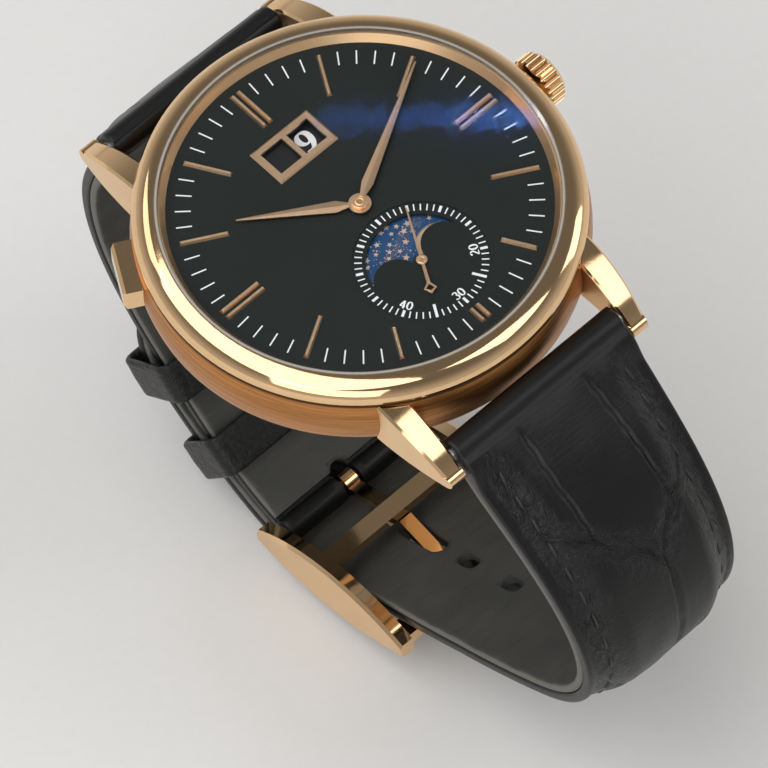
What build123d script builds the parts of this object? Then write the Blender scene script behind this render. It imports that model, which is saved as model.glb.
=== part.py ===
"""A round dress watch with a moon phase and a big date, on a leather strap closed by a pin buckle.

Millimetres. The origin is the middle of the case back's flat face. +Z goes out through the dial,
+Y to twelve o'clock and +X to three o'clock. The strap hangs below the case as a closed loop.
"""
import os
from math import asin, atan2, cos, degrees, hypot, pi, radians, sin, sqrt

from build123d import *

# Clearances and cuts that serve many pieces
running = 0.05
seat_gap = 0.02
soft_gap = 0.35
overrun = 3.0

# Heights of the stack, from the flat of the back up to the crystal
back_glass_recess = 0.05
back_glass_thickness = 1.2
rotor_room = 0.35
rotor_thickness = 0.85
bridge_room = 0.55
bridge_thickness = 1.2
train_room = 1.2
plate_thickness = 1.0
calendar_room = 1.1
dial_thickness = 0.4
seconds_gap = 0.1
seconds_thickness = 0.1
hour_gap = 0.08
hour_thickness = 0.15
minute_gap = 0.07
minute_thickness = 0.15
crystal_gap = 0.2
crystal_thickness = 1.05
crystal_seat = 0.35

# Case
bezel_radius = 20.0
bezel_shoulder_radius = 19.25
bezel_bore = 18.0
bezel_height = 1.75
bezel_shoulder_drop = 0.42
bezel_wall = 0.22
bezel_groove = 0.15
neck_width = 1.0
neck_gap = 0.1
band_radius = 20.25
band_top_inset = 0.4
band_foot_inset = 0.35
band_bevel = 0.5
case_bore = 17.9
ledge_bore = 17.3
ledge_thickness = 1.2
back_height = 1.4
back_radius = 19.0
back_chamfer = 0.4
back_glass_radius = 15.0
back_glass_seal = 0.25
back_neck_width = 0.65
back_neck_height = 0.8
back_seal_radius = 17.45
back_seal_width = 0.3
back_seal_height = 0.32
case_screw_ring_radius = 18.25
case_screw_radius = 0.3
case_screw_head_radius = 0.55
case_screw_head_height = 0.35
case_screw_length = 2.2
case_screw_count = 6
screw_slot_width = 0.14
screw_slot_depth = 0.12

# Crystal and flange
crystal_seal_width = 0.35
flange_radius = 17.0
flange_slope = 0.5
flange_wall = 0.3
crystal_bevel = 0.15

# Lugs and the bars between them
strap_width = 20.0
lug_play = 0.1
lug_width = 2.5
lug_tip_width = 1.65
lug_side_swell = 0.2
lug_tip_reach = 2.05
strap_case_gap = 0.2
lug_bar_height = 3.3
lug_top_height = 6.95
lug_foot_height = 1.6
lug_tip_height = 2.6
lug_nose = 0.65
lug_swell = 0.75
lug_bevel = 0.22
bar_radius = 0.75
bar_tip_radius = 0.45
bar_tip_length = 1.0

# Dial and what stands on it
dial_radius = 17.4
subdial_drop = 7.86
subdial_radius = 6.1
subdial_recess = 0.08
moon_window_radius = 4.9
moon_window_hub = 0.75
moon_hump_radius = 2.15
moon_hump_reach = 2.8
date_rise = 8.43
date_window_width = 2.5
date_window_height = 2.7
date_divider = 0.5
date_frame_width = 6.8
date_frame_height = 4.15
date_frame_bevel = 0.16
marker_height = 0.24
marker_width = 0.46
marker_taper_angle = 24
marker_outer = 16.12
marker_length = 4.4
marker_short_length = 3.3
marker_six_length = 1.75
marker_pair = 0.73

# Hands
minute_length = 15.3
minute_width = 1.06
minute_hub_radius = 0.75
minute_clock_angle = 61.8
hour_length = 10.9
hour_width = 1.2
hour_hub_radius = 1.02
hour_clock_angle = 305.0
hand_root_width = 0.5
hand_tip_width = 0.12
hand_edge_height = 0.05
hand_widest_reach = 2.1
seconds_length = 5.5
seconds_tail = 3.6
seconds_width = 0.32
seconds_hub_radius = 0.5
seconds_clock_angle = 29.0
seconds_arrow_length = 1.2
seconds_arrow_width = 1.15
seconds_arrow_wall = 0.18

# Movement plates
movement_radius = 15.25
plate_rim_width = 1.35
movement_ring_lip = 0.6
jewel_radius = 0.6
jewel_height = 0.35
pivot_radius = 0.13
pivot_depth = 0.4
bridge_screw_ring_radius = 14.55
bridge_screw_radius = 0.3
bridge_screw_head_radius = 0.5
bridge_screw_head_height = 0.3
bridge_screw_angles = (28, 80, 135, 195, 250)
cock_thickness = 0.38
cock_width = 2.2
cock_overlap = 1.3
cock_screw_depth = 0.7
stud_size = 0.4
bridge_screw_grip = 0.8

# Going train: each wheel's teeth with its module, and the directions from one arbor to the next
wheel_thickness = 0.15
wheel_lift = 0.35
wheel_windows = 5
wheel_window_reach_share = 0.56
wheel_window_share = 0.22
first_wheel_lift = 0.2
arbor_radius = 0.22
barrel_teeth = 84
centre_pinion_teeth = 14
barrel_module = 0.13
barrel_direction = 30.2
barrel_thickness = 0.6
barrel_tooth_height = 0.3
barrel_wall = 0.5
centre_pinion_height = 0.4
centre_teeth = 80
third_pinion_teeth = 10
centre_module = 0.12
third_teeth = 75
fourth_pinion_teeth = 10
third_module = 0.105
fourth_teeth = 80
escape_pinion_teeth = 8
fourth_module = 0.08
escape_direction = -30
escape_teeth = 15
escape_radius = 1.9
escape_tooth = 0.45
escape_arbor_radius = 0.18
tooth_root_share = 0.27
tooth_tip_share = 0.1
tooth_height_share = 0.7
tooth_depth_share = 1.0

# Escapement and balance
balance_direction = 25
fork_distance = 2.3
fork_reach = 2.3
fork_width = 0.3
fork_span = 1.1
fork_bridge_drop = 0.35
fork_bridge_thickness = 0.3
fork_bridge_width = 0.8
fork_bridge_reach = 2.2
fork_bridge_foot = 0.6
balance_distance = 5.5
balance_radius = 4.0
balance_rim = 0.45
balance_height = 0.45
balance_room = 4.5
balance_lift = 0.4
hairspring_lift = 0.15
balance_spoke = 0.35
balance_staff_radius = 0.2
roller_radius = 0.5
hairspring_wire = 0.05
hairspring_inner = 0.55
hairspring_pitch = 0.54
hairspring_turns = 5

# Winding parts
ratchet_teeth = 36
crown_wheel_teeth = 28
ratchet_module = 0.172
ratchet_thickness = 0.45
wheel_pocket = 0.65
pocket_room = 0.2
winding_pinion_radius = 1.08
winding_pinion_teeth = 14
winding_pinion_inner = 12.0
winding_pinion_length = 1.6
pinion_room = 0.25
ratchet_arbor_radius = 0.5
boss_radius = 0.45

# Rotor
rotor_radius = 14.8
rotor_rim_width = 3.4
rotor_web_inset = 0.3
rotor_bearing_radius = 1.3
rotor_hub_radius = 2.6
rotor_cap_radius = 1.9
rotor_cap_height = 0.12
rotor_window_reach = 7.0
rotor_window_radius = 1.9

# Motion work and calendar under the dial
cannon_wall = 0.2
cannon_teeth = 12
minute_wheel_teeth = 36
motion_module = 0.14
minute_pinion_teeth = 10
hour_wheel_teeth = 40
hour_wall = 0.2
motion_direction = 215
motion_gap = 0.05
motion_thickness = 0.2
minute_post_radius = 0.3
disc_thickness = 0.15
disc_gap = 0.1
moon_disc_radius = 5.3
post_wall = 0.4
shoulder_width = 0.4
units_disc_radius = 6.4
units_disc_reach = 4.9
tens_disc_radius = 5.45
tens_disc_reach = 3.6
date_post_radius = 0.6

# Crown and pusher
crown_radius = 2.6
crown_length = 2.2
crown_gap = 0.2
crown_flutes = 24
crown_flute_radius = 0.24
crown_round = 0.45
crown_hollow_radius = 1.75
crown_hollow_depth = 1.6
stem_radius = 0.45
tube_wall = 0.4
tube_stand = 1.2
pusher_clock_angle = 150
pusher_length = 5.4
pusher_height = 2.5
pusher_stand = 1.6
pusher_travel = 0.6
pusher_seat_depth = 1.5
pusher_bevel = 0.3
pusher_stem_radius = 0.5
pusher_reach = 15.95
spring_wall = 0.3
spring_seat = 16.2
collar_inset = 0.1
collar_width = 0.25

# Strap
strap_taper_share = 0.8
strap_play = 0.2
taper_drop = 36.0
lining_thickness = 0.9
body_thickness = 1.2
padding_thickness = 3.0
long_padding_share = 0.5
lug_leather = 0.65
buckle_leather = 0.55
hole_length = 2.6
hole_width = 1.6
hole_pitch = 6.6
tang_slot_start = 7.7
tang_slot_length = 6.4
tang_slot_width = 2.2
loop_reach = 36.0
loop_depth = 44.2
strap_stations = 12

# Strap routes: places of the seam between lining and leather, as shares of the loop's reach and depth
short_route_shares = (
    (0.658, -0.036),
    (0.733, -0.217),
    (0.731, -0.43),
    (0.636, -0.633),
    (0.483, -0.801),
    (0.294, -0.934),
)
long_route_shares = (
    (-0.817, -0.081),
    (-0.953, -0.213),
    (-1.019, -0.357),
    (-0.994, -0.498),
    (-0.911, -0.6),
    (-0.797, -0.676),
    (-0.569, -0.796),
)
tail_shares = (0.88, 0.78, 0.68, 0.58)

# Buckle, in its own frame along the strap and outward from it, with the spring bar at its zero
buckle_bar_y = 4.0
buckle_bar_radius = 0.6
buckle_bar_tip_radius = 0.35
buckle_crown = 0.3
buckle_tilt = 10.4
buckle_front = 16.4
buckle_front_out = 0.6
buckle_middle = 7.2
buckle_middle_out = -2.3
rail_gap = 0.35
rail_thickness = 1.5
rail_overhang = 1.6
rail_end = 0.75
rail_bevel = 0.3
rail_belly_out = 2.9
rail_belly_in = 3.1
front_bar_width = 2.2
front_bar_height = 1.2
middle_bar_width = 2.0
middle_bar_height = 0.9
tang_width = 1.4
tang_thickness = 0.8
tang_gap = 0.2
tang_tip = 1.2
tang_sleeve = 0.5
notch_width = 2.2
notch_length = 5.0

# Keepers
keeper_width = 4.2
keeper_wall = 0.9
fixed_keeper_share = 0.84
free_keeper_share = 0.69

# Heights that follow from the stack
rotor_low = back_glass_recess + back_glass_thickness + rotor_room
rotor_high = rotor_low + rotor_thickness
bridge_low = rotor_high + bridge_room
bridge_high = bridge_low + bridge_thickness
plate_low = bridge_high + train_room
plate_high = plate_low + plate_thickness
dial_low = plate_high + calendar_room
dial_top = dial_low + dial_thickness
seconds_low = dial_top + seconds_gap
seconds_high = seconds_low + seconds_thickness
hour_low = seconds_high + hour_gap
hour_high = hour_low + hour_thickness
minute_low = hour_high + minute_gap
minute_high = minute_low + minute_thickness
crystal_low = minute_high + crystal_gap
bezel_high = crystal_low + crystal_seat
bezel_low = bezel_high - bezel_height
band_high = bezel_low - bezel_groove
neck_high = crystal_low - neck_gap
band_low = back_height
ledge_high = band_low + ledge_thickness
third_low = bridge_high + first_wheel_lift
fourth_low = third_low + wheel_lift
centre_low = fourth_low + wheel_lift
stem_z = (bridge_high + plate_low) / 2
moon_low = dial_low - disc_gap - disc_thickness
units_low = moon_low - disc_gap - disc_thickness
cannon_low = plate_high + motion_gap
hour_wheel_low = cannon_low + motion_thickness + motion_gap

cock_low = bridge_low - cock_thickness
hairspring_z = bridge_low + hairspring_lift
balance_low = bridge_low + balance_lift
fork_bridge_high = centre_low - fork_bridge_drop
fork_bridge_low = fork_bridge_high - fork_bridge_thickness

# Radii and reaches that follow
neck_radius = case_bore + neck_width
crystal_radius = bezel_bore - crystal_seal_width
cannon_radius = arbor_radius + cannon_wall
hour_bore = cannon_radius + running
hour_radius = hour_bore + hour_wall
lug_inner = strap_width / 2 + lug_play
buckle_width = strap_taper_share * strap_width
lug_end_radius = bar_radius + running + lug_leather
lug_bar_reach = band_radius + strap_case_gap + lug_end_radius
lug_reach = lug_bar_reach + lug_tip_reach
tube_radius = stem_radius + running + tube_wall
post_radius = arbor_radius + running + post_wall
pusher_floor = band_radius - pusher_seat_depth
collar_reach = case_bore - collar_inset - collar_width
hairspring_outer = hairspring_inner + hairspring_turns * hairspring_pitch
cock_reach = balance_room + cock_overlap
foot_middle = fork_bridge_reach - fork_bridge_foot / 2
slot_width = 2 * (winding_pinion_radius + pinion_room)
slot_length = movement_radius + overrun - winding_pinion_inner + pinion_room
slot_middle = winding_pinion_inner - pinion_room + slot_length / 2

# Arbor places, worked out from the meshes
centre_to_third = centre_module * (centre_teeth + third_pinion_teeth) / 2
third_to_fourth = third_module * (third_teeth + fourth_pinion_teeth) / 2
fourth_to_escape = fourth_module * (fourth_teeth + escape_pinion_teeth) / 2
centre_to_barrel = barrel_module * (barrel_teeth + centre_pinion_teeth) / 2
motion_distance = motion_module * (cannon_teeth + minute_wheel_teeth) / 2
minute_pinion_module = 2 * motion_distance / (minute_pinion_teeth + hour_wheel_teeth)
ratchet_to_crown = ratchet_module * (ratchet_teeth + crown_wheel_teeth) / 2


def polar(distance, angle, start=(0, 0)):
    """The point at a distance and an angle in degrees from a start."""
    return (start[0] + distance * cos(radians(angle)), start[1] + distance * sin(radians(angle)))


def direction(start, end):
    """The angle in degrees from one point to another."""
    return degrees(atan2(end[1] - start[1], end[0] - start[0]))


centre_place = (0, 0)
fourth_place = (0, -subdial_drop)
third_down = (centre_to_third**2 - third_to_fourth**2 + subdial_drop**2) / (2 * subdial_drop)
third_place = (-sqrt(centre_to_third**2 - third_down**2), -third_down)
escape_place = polar(fourth_to_escape, escape_direction, fourth_place)
fork_place = polar(fork_distance, balance_direction, escape_place)
balance_place = polar(balance_distance, balance_direction, escape_place)
barrel_place = polar(centre_to_barrel, barrel_direction)
crown_wheel_direction = -degrees(asin(barrel_place[1] / ratchet_to_crown))
crown_wheel_place = polar(ratchet_to_crown, crown_wheel_direction, barrel_place)
minute_wheel_place = polar(motion_distance, motion_direction)
date_pitch = date_window_width + date_divider
units_place = (date_pitch / 2 + units_disc_reach, date_rise)
tens_place = (-date_pitch / 2 - tens_disc_reach, date_rise)
bridge_screw_places = [polar(bridge_screw_ring_radius, angle) for angle in bridge_screw_angles]
cock_angle = direction(centre_place, balance_place) + 90
cock_screw_places = [polar(reach, cock_angle, balance_place) for reach in (-cock_reach, cock_reach)]


def radial_plane(angle, reach):
    """A plane that faces outward at an angle round the case, at the stem's height."""
    outward = (cos(radians(angle)), sin(radians(angle)), 0)
    tangent = (-sin(radians(angle)), cos(radians(angle)), 0)
    return Plane(origin=(reach * outward[0], reach * outward[1], stem_z), x_dir=tangent, z_dir=outward)


def clock_plane(place, clock_angle, height):
    """A level plane whose own +Y points to a clock angle, counted clockwise from twelve."""
    a = radians(clock_angle)
    return Plane(origin=(place[0], place[1], height), x_dir=(cos(a), -sin(a), 0), z_dir=(0, 0, 1))


def toothed(teeth, module, phase):
    """A toothed disc's outline about its own centre, with one tooth at the phase angle."""
    pitch = 360 / teeth
    radius = module * teeth / 2
    tip = radius + tooth_height_share * module
    root = radius - tooth_depth_share * module
    corners = []
    for tooth in range(teeth):
        middle = phase + tooth * pitch
        corners.append(polar(root, middle - tooth_root_share * pitch))
        corners.append(polar(tip, middle - tooth_tip_share * pitch))
        corners.append(polar(tip, middle + tooth_tip_share * pitch))
        corners.append(polar(root, middle + tooth_root_share * pitch))
    with BuildSketch() as outline:
        with BuildLine():
            Polyline(*corners, close=True)
        make_face()
    return outline.sketch


def band_outline(inner_radius):
    """Half the section of the case band, from an inner radius out to its barrelled side."""
    with BuildSketch(Plane.XZ) as outline:
        with BuildLine():
            foot = (band_radius - band_foot_inset, band_low + band_bevel)
            brow = (band_radius - band_top_inset, band_high)
            Line((inner_radius, band_high), (inner_radius, band_low))
            Polyline((inner_radius, band_low), (foot[0] - band_bevel, band_low), foot)
            ThreePointArc(foot, (band_radius, stem_z), brow)
            Line(brow, (inner_radius, band_high))
        make_face()
    return outline.sketch


def ring_outline(inner_radius, outer_radius, low, high):
    """Half the section of a plain ring."""
    with BuildSketch(Plane.XZ) as outline:
        with BuildLine():
            Polyline(
                (inner_radius, low),
                (outer_radius, low),
                (outer_radius, high),
                (inner_radius, high),
                close=True,
            )
        make_face()
    return outline.sketch


os.makedirs("parts", exist_ok=True)

# Bezel
with BuildPart() as bezel:
    with BuildSketch(Plane.XZ):
        with BuildLine():
            shoulder = (bezel_shoulder_radius, bezel_high - bezel_shoulder_drop)
            lip = (bezel_bore, bezel_high)
            ThreePointArc((bezel_radius, bezel_low + bezel_wall), shoulder, lip)
            Polyline(
                lip,
                (bezel_bore, neck_high + seat_gap),
                (neck_radius + seat_gap, neck_high + seat_gap),
                (neck_radius + seat_gap, bezel_low),
                (bezel_radius, bezel_low),
                (bezel_radius, bezel_low + bezel_wall),
            )
        make_face()
    revolve(axis=Axis.Z)
bezel.part.label = "bezel"
export_step(bezel.part, "parts/bezel.step")

# Case middle: the barrelled band, the neck for the bezel and the ledge for the movement
with BuildPart() as case_middle:
    revolve(band_outline(ledge_bore), axis=Axis.Z)
    revolve(ring_outline(case_bore, neck_radius, ledge_high, neck_high), axis=Axis.Z)
    revolve(ring_outline(0, case_bore, ledge_high, neck_high + overrun), axis=Axis.Z, mode=Mode.SUBTRACT)
    revolve(
        ring_outline(back_seal_radius, back_seal_radius + back_seal_width, 0, band_low + back_seal_height),
        axis=Axis.Z,
        mode=Mode.SUBTRACT,
    )
    with BuildSketch(Plane.XY):
        with PolarLocations(case_screw_ring_radius, case_screw_count):
            Circle(case_screw_radius + seat_gap)
    extrude(amount=case_screw_length + running, mode=Mode.SUBTRACT)
    with BuildSketch(radial_plane(0, ledge_bore - overrun)):
        Circle(tube_radius + seat_gap)
    extrude(amount=2 * overrun + band_radius - ledge_bore, mode=Mode.SUBTRACT)
    with BuildSketch(radial_plane(pusher_clock_angle, ledge_bore - overrun)):
        Circle(pusher_stem_radius + running + spring_wall + seat_gap)
    extrude(amount=2 * overrun + band_radius - ledge_bore, mode=Mode.SUBTRACT)
    with BuildSketch(radial_plane(pusher_clock_angle, pusher_floor)):
        Rectangle(pusher_length + 2 * running, pusher_height + 2 * running)
    extrude(amount=pusher_seat_depth + overrun, mode=Mode.SUBTRACT)
case_middle.part.label = "case_middle"
export_step(case_middle.part, "parts/case_middle.step")

# Four lugs, cut to the band and bored for the spring bars
with BuildPart() as lugs:
    with BuildSketch(Plane.YZ.offset(lug_inner)):
        with BuildLine():
            root = (case_bore - lug_width, lug_top_height)
            brow = (lug_reach - lug_nose, lug_tip_height + lug_nose)
            nose = (lug_reach, lug_tip_height)
            chin = (lug_reach - lug_nose, lug_tip_height - lug_nose)
            swell_y = (root[0] + brow[0]) / 2
            swell_z = (root[1] + brow[1]) / 2 + lug_swell
            ThreePointArc(root, (swell_y, swell_z), brow)
            ThreePointArc(brow, nose, chin)
            Polyline(chin, (root[0], lug_foot_height), root)
        make_face()
    extrude(amount=lug_width)
    with BuildSketch(Plane.XY):
        with BuildLine():
            shoulder = (lug_inner + lug_width, root[0])
            tip = (lug_inner + lug_tip_width, lug_reach)
            side_x = (shoulder[0] + tip[0]) / 2 + lug_side_swell
            ThreePointArc(shoulder, (side_x, (shoulder[1] + tip[1]) / 2), tip)
            Polyline(tip, (lug_inner, lug_reach), (lug_inner, root[0]), shoulder)
        make_face()
    extrude(amount=lug_top_height + lug_swell, mode=Mode.INTERSECT)
    crests = lugs.edges().filter_by(GeomType.LINE, reverse=True).sort_by(Axis.Z)[-2:]
    chamfer(crests, length=lug_bevel)
    revolve(band_outline(0), axis=Axis.Z, mode=Mode.SUBTRACT)
    with BuildSketch(Plane.YZ):
        with Locations((lug_bar_reach, lug_bar_height)):
            Circle(bar_tip_radius + running)
    extrude(amount=lug_inner + bar_tip_length + running, mode=Mode.SUBTRACT)
    mirror(about=Plane.XZ)
    mirror(about=Plane.YZ)
lugs.part.label = "lugs"
export_step(lugs.part, "parts/lugs.step")

# Case back: ring, its seal, the window, the window's seal and the screws
with BuildPart() as case_back_ring:
    with BuildSketch(Plane.XZ):
        with BuildLine():
            inner = back_glass_radius + back_glass_seal
            neck_out = ledge_bore - seat_gap
            neck_in = neck_out - back_neck_width
            Polyline(
                (inner, 0),
                (back_radius - back_chamfer, 0),
                (back_radius, back_chamfer),
                (back_radius, band_low),
                (neck_out, band_low),
                (neck_out, band_low + back_neck_height),
                (neck_in, band_low + back_neck_height),
                (neck_in, band_low),
                (inner, band_low),
                close=True,
            )
        make_face()
    revolve(axis=Axis.Z)
    with BuildSketch(Plane.XY):
        with PolarLocations(case_screw_ring_radius, case_screw_count):
            Circle(case_screw_radius + running)
    extrude(amount=band_low, mode=Mode.SUBTRACT)
    with BuildSketch(Plane.XY):
        with PolarLocations(case_screw_ring_radius, case_screw_count):
            Circle(case_screw_head_radius + running)
    extrude(amount=case_screw_head_height + running, mode=Mode.SUBTRACT)
case_back_ring.part.label = "case_back_ring"
export_step(case_back_ring.part, "parts/case_back_ring.step")

with BuildPart() as case_back_seal:
    seal_in = back_seal_radius + seat_gap
    seal_out = back_seal_radius + back_seal_width - seat_gap
    revolve(ring_outline(seal_in, seal_out, band_low, band_low + back_seal_height - seat_gap), axis=Axis.Z)
case_back_seal.part.label = "case_back_seal"
export_step(case_back_seal.part, "parts/case_back_seal.step")

with BuildPart() as back_glass:
    with BuildSketch(Plane.XY.offset(back_glass_recess)):
        Circle(back_glass_radius)
    extrude(amount=back_glass_thickness)
back_glass.part.label = "back_glass"
export_step(back_glass.part, "parts/back_glass.step")

with BuildPart() as back_glass_seal_ring:
    seal_top = back_glass_recess + back_glass_thickness
    revolve(
        ring_outline(back_glass_radius, back_glass_radius + back_glass_seal, back_glass_recess, seal_top),
        axis=Axis.Z,
    )
back_glass_seal_ring.part.label = "back_glass_seal"
export_step(back_glass_seal_ring.part, "parts/back_glass_seal.step")

with BuildPart() as case_screws:
    with BuildSketch(Plane.XY.offset(running)):
        with PolarLocations(case_screw_ring_radius, case_screw_count):
            Circle(case_screw_head_radius)
    extrude(amount=case_screw_head_height)
    with BuildSketch(Plane.XY.offset(running)):
        with PolarLocations(case_screw_ring_radius, case_screw_count):
            Circle(case_screw_radius)
    extrude(amount=case_screw_length - running)
    with BuildSketch(Plane.XY):
        with PolarLocations(case_screw_ring_radius, case_screw_count):
            Rectangle(screw_slot_width, 2 * case_screw_head_radius)
    extrude(amount=running + screw_slot_depth, mode=Mode.SUBTRACT)
case_screws.part.label = "case_screws"
export_step(case_screws.part, "parts/case_screws.step")

# Crystal, its seal and the sloped flange between crystal and dial
with BuildPart() as crystal:
    with BuildSketch(Plane.XY.offset(crystal_low)):
        Circle(crystal_radius)
    extrude(amount=crystal_thickness)
    chamfer(crystal.edges().group_by(Axis.Z)[-1], length=crystal_bevel)
crystal.part.label = "crystal"
export_step(crystal.part, "parts/crystal.step")

with BuildPart() as crystal_seal:
    seal_base = neck_high + seat_gap
    revolve(ring_outline(crystal_radius, bezel_bore, seal_base, bezel_high), axis=Axis.Z)
crystal_seal.part.label = "crystal_seal"
export_step(crystal_seal.part, "parts/crystal_seal.step")

with BuildPart() as dial_flange:
    with BuildSketch(Plane.XZ):
        with BuildLine():
            flange_out = flange_radius + flange_slope + flange_wall
            flange_top = neck_high
            Polyline(
                (flange_radius, dial_top),
                (flange_out, dial_top),
                (flange_out, flange_top),
                (flange_radius + flange_slope, flange_top),
                close=True,
            )
        make_face()
    revolve(axis=Axis.Z)
dial_flange.part.label = "dial_flange"
export_step(dial_flange.part, "parts/dial_flange.step")

# Spring bars between the lugs
with BuildPart() as lug_spring_bars:
    with BuildSketch(Plane.YZ):
        with Locations((lug_bar_reach, lug_bar_height), (-lug_bar_reach, lug_bar_height)):
            Circle(bar_radius)
    extrude(amount=lug_inner - running, both=True)
    with BuildSketch(Plane.YZ):
        with Locations((lug_bar_reach, lug_bar_height), (-lug_bar_reach, lug_bar_height)):
            Circle(bar_tip_radius)
    extrude(amount=lug_inner + bar_tip_length, both=True)
lug_spring_bars.part.label = "lug_spring_bars"
export_step(lug_spring_bars.part, "parts/lug_spring_bars.step")

# Crown, its stem and the tube that it runs in
crown_low = band_radius + crown_gap
with BuildPart() as crown:
    with BuildSketch(radial_plane(0, crown_low)):
        Circle(crown_radius)
        with PolarLocations(crown_radius, crown_flutes):
            Circle(crown_flute_radius, mode=Mode.SUBTRACT)
    extrude(amount=crown_length)
    with BuildSketch(Plane.XZ):
        with BuildLine():
            rim = stem_z + crown_radius
            far = crown_low + crown_length
            Polyline(
                (crown_low, stem_z),
                (crown_low, rim - crown_round),
                (crown_low + crown_round, rim),
                (far - crown_round, rim),
                (far, rim - crown_round),
                (far, stem_z),
                close=True,
            )
        make_face()
    revolve(axis=Axis((0, 0, stem_z), (1, 0, 0)), mode=Mode.INTERSECT)
    with BuildSketch(radial_plane(0, crown_low)):
        Circle(crown_hollow_radius)
    extrude(amount=crown_hollow_depth, mode=Mode.SUBTRACT)
crown.part.label = "crown"
export_step(crown.part, "parts/crown.step")

with BuildPart() as crown_stem:
    with BuildSketch(radial_plane(0, winding_pinion_inner)):
        Circle(stem_radius)
    extrude(amount=crown_low + crown_hollow_depth - winding_pinion_inner)
crown_stem.part.label = "crown_stem"
export_step(crown_stem.part, "parts/crown_stem.step")

with BuildPart() as crown_tube:
    with BuildSketch(radial_plane(0, case_bore)):
        Circle(tube_radius)
        Circle(stem_radius + running, mode=Mode.SUBTRACT)
    extrude(amount=band_radius + tube_stand - case_bore)
crown_tube.part.label = "crown_tube"
export_step(crown_tube.part, "parts/crown_tube.step")

with BuildPart() as winding_pinion:
    with BuildSketch(radial_plane(0, winding_pinion_inner)):
        add(toothed(winding_pinion_teeth, 2 * winding_pinion_radius / winding_pinion_teeth, 0))
        Circle(stem_radius + running, mode=Mode.SUBTRACT)
    extrude(amount=winding_pinion_length)
winding_pinion.part.label = "winding_pinion"
export_step(winding_pinion.part, "parts/winding_pinion.step")

# Date pusher at ten o'clock, its bush and its return spring
with BuildPart() as date_pusher:
    with BuildSketch(radial_plane(pusher_clock_angle, pusher_floor + pusher_travel + running)):
        Rectangle(pusher_length, pusher_height)
    extrude(amount=band_radius + pusher_stand - pusher_floor - pusher_travel - running)
    pusher_axis = Axis((0, 0, 0), polar(1, pusher_clock_angle) + (0,))
    chamfer(date_pusher.faces().sort_by(pusher_axis)[-1].edges(), length=pusher_bevel)
    with BuildSketch(radial_plane(pusher_clock_angle, pusher_reach)):
        Circle(pusher_stem_radius)
    extrude(amount=band_radius - pusher_reach)
    with BuildSketch(radial_plane(pusher_clock_angle, collar_reach)):
        Circle(pusher_stem_radius + spring_wall)
    extrude(amount=collar_width)
date_pusher.part.label = "date_pusher"
export_step(date_pusher.part, "parts/date_pusher.step")

with BuildPart() as pusher_bush:
    with BuildSketch(radial_plane(pusher_clock_angle, case_bore)):
        Circle(pusher_stem_radius + running + spring_wall)
        Circle(pusher_stem_radius + running, mode=Mode.SUBTRACT)
    extrude(amount=pusher_floor - case_bore)
pusher_bush.part.label = "pusher_bush"
export_step(pusher_bush.part, "parts/pusher_bush.step")

with BuildPart() as pusher_spring:
    with BuildSketch(radial_plane(pusher_clock_angle, spring_seat)):
        Circle(pusher_stem_radius + running + spring_wall)
        Circle(pusher_stem_radius + running, mode=Mode.SUBTRACT)
    extrude(amount=collar_reach - pusher_travel - running - spring_seat)
pusher_spring.part.label = "pusher_spring"
export_step(pusher_spring.part, "parts/pusher_spring.step")

# Ring that carries the movement and the dial inside the case
with BuildPart() as movement_ring:
    ring_out = case_bore - running
    revolve(ring_outline(movement_radius + running, ring_out, ledge_high, plate_high), axis=Axis.Z)
    revolve(ring_outline(ring_out - movement_ring_lip, ring_out, plate_high, dial_low), axis=Axis.Z)
    with BuildSketch(radial_plane(0, movement_radius - overrun)):
        Circle(stem_radius + 2 * running)
    extrude(amount=overrun + case_bore - movement_radius, mode=Mode.SUBTRACT)
    with BuildSketch(radial_plane(pusher_clock_angle, movement_radius - overrun)):
        Circle(pusher_stem_radius + 2 * running)
    extrude(amount=overrun + case_bore - movement_radius, mode=Mode.SUBTRACT)
    with BuildSketch(radial_plane(pusher_clock_angle, spring_seat)):
        Circle(pusher_stem_radius + spring_wall + 3 * running)
    extrude(amount=case_bore - spring_seat, mode=Mode.SUBTRACT)
movement_ring.part.label = "movement_ring"
export_step(movement_ring.part, "parts/movement_ring.step")

# Dial with its recessed small seconds, the moon window and the two date windows
with BuildPart() as dial:
    with BuildSketch(Plane.XY.offset(dial_low)):
        Circle(dial_radius)
    extrude(amount=dial_thickness)
    with BuildSketch(Plane.XY.offset(dial_top - subdial_recess)):
        with Locations(fourth_place):
            Circle(subdial_radius)
    extrude(amount=overrun, mode=Mode.SUBTRACT)
    with BuildSketch(Plane.XY.offset(dial_low)):
        Circle(hour_radius + running)
        with Locations(fourth_place):
            Circle(arbor_radius + 2 * running)
        with Locations((-date_pitch / 2, date_rise), (date_pitch / 2, date_rise)):
            Rectangle(date_window_width, date_window_height)
    extrude(amount=dial_thickness + overrun, mode=Mode.SUBTRACT)
    with BuildSketch(Plane.XY.offset(dial_low)):
        with Locations(fourth_place):
            Circle(moon_window_radius)
            Circle(moon_window_hub, mode=Mode.SUBTRACT)
            with Locations((0, -moon_window_radius / 2)):
                Rectangle(2 * moon_window_radius, moon_window_radius, mode=Mode.SUBTRACT)
            with Locations((-moon_hump_reach, 0), (moon_hump_reach, 0)):
                Circle(moon_hump_radius, mode=Mode.SUBTRACT)
    extrude(amount=dial_thickness, mode=Mode.SUBTRACT)
dial.part.label = "dial"
export_step(dial.part, "parts/dial.step")

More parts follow.
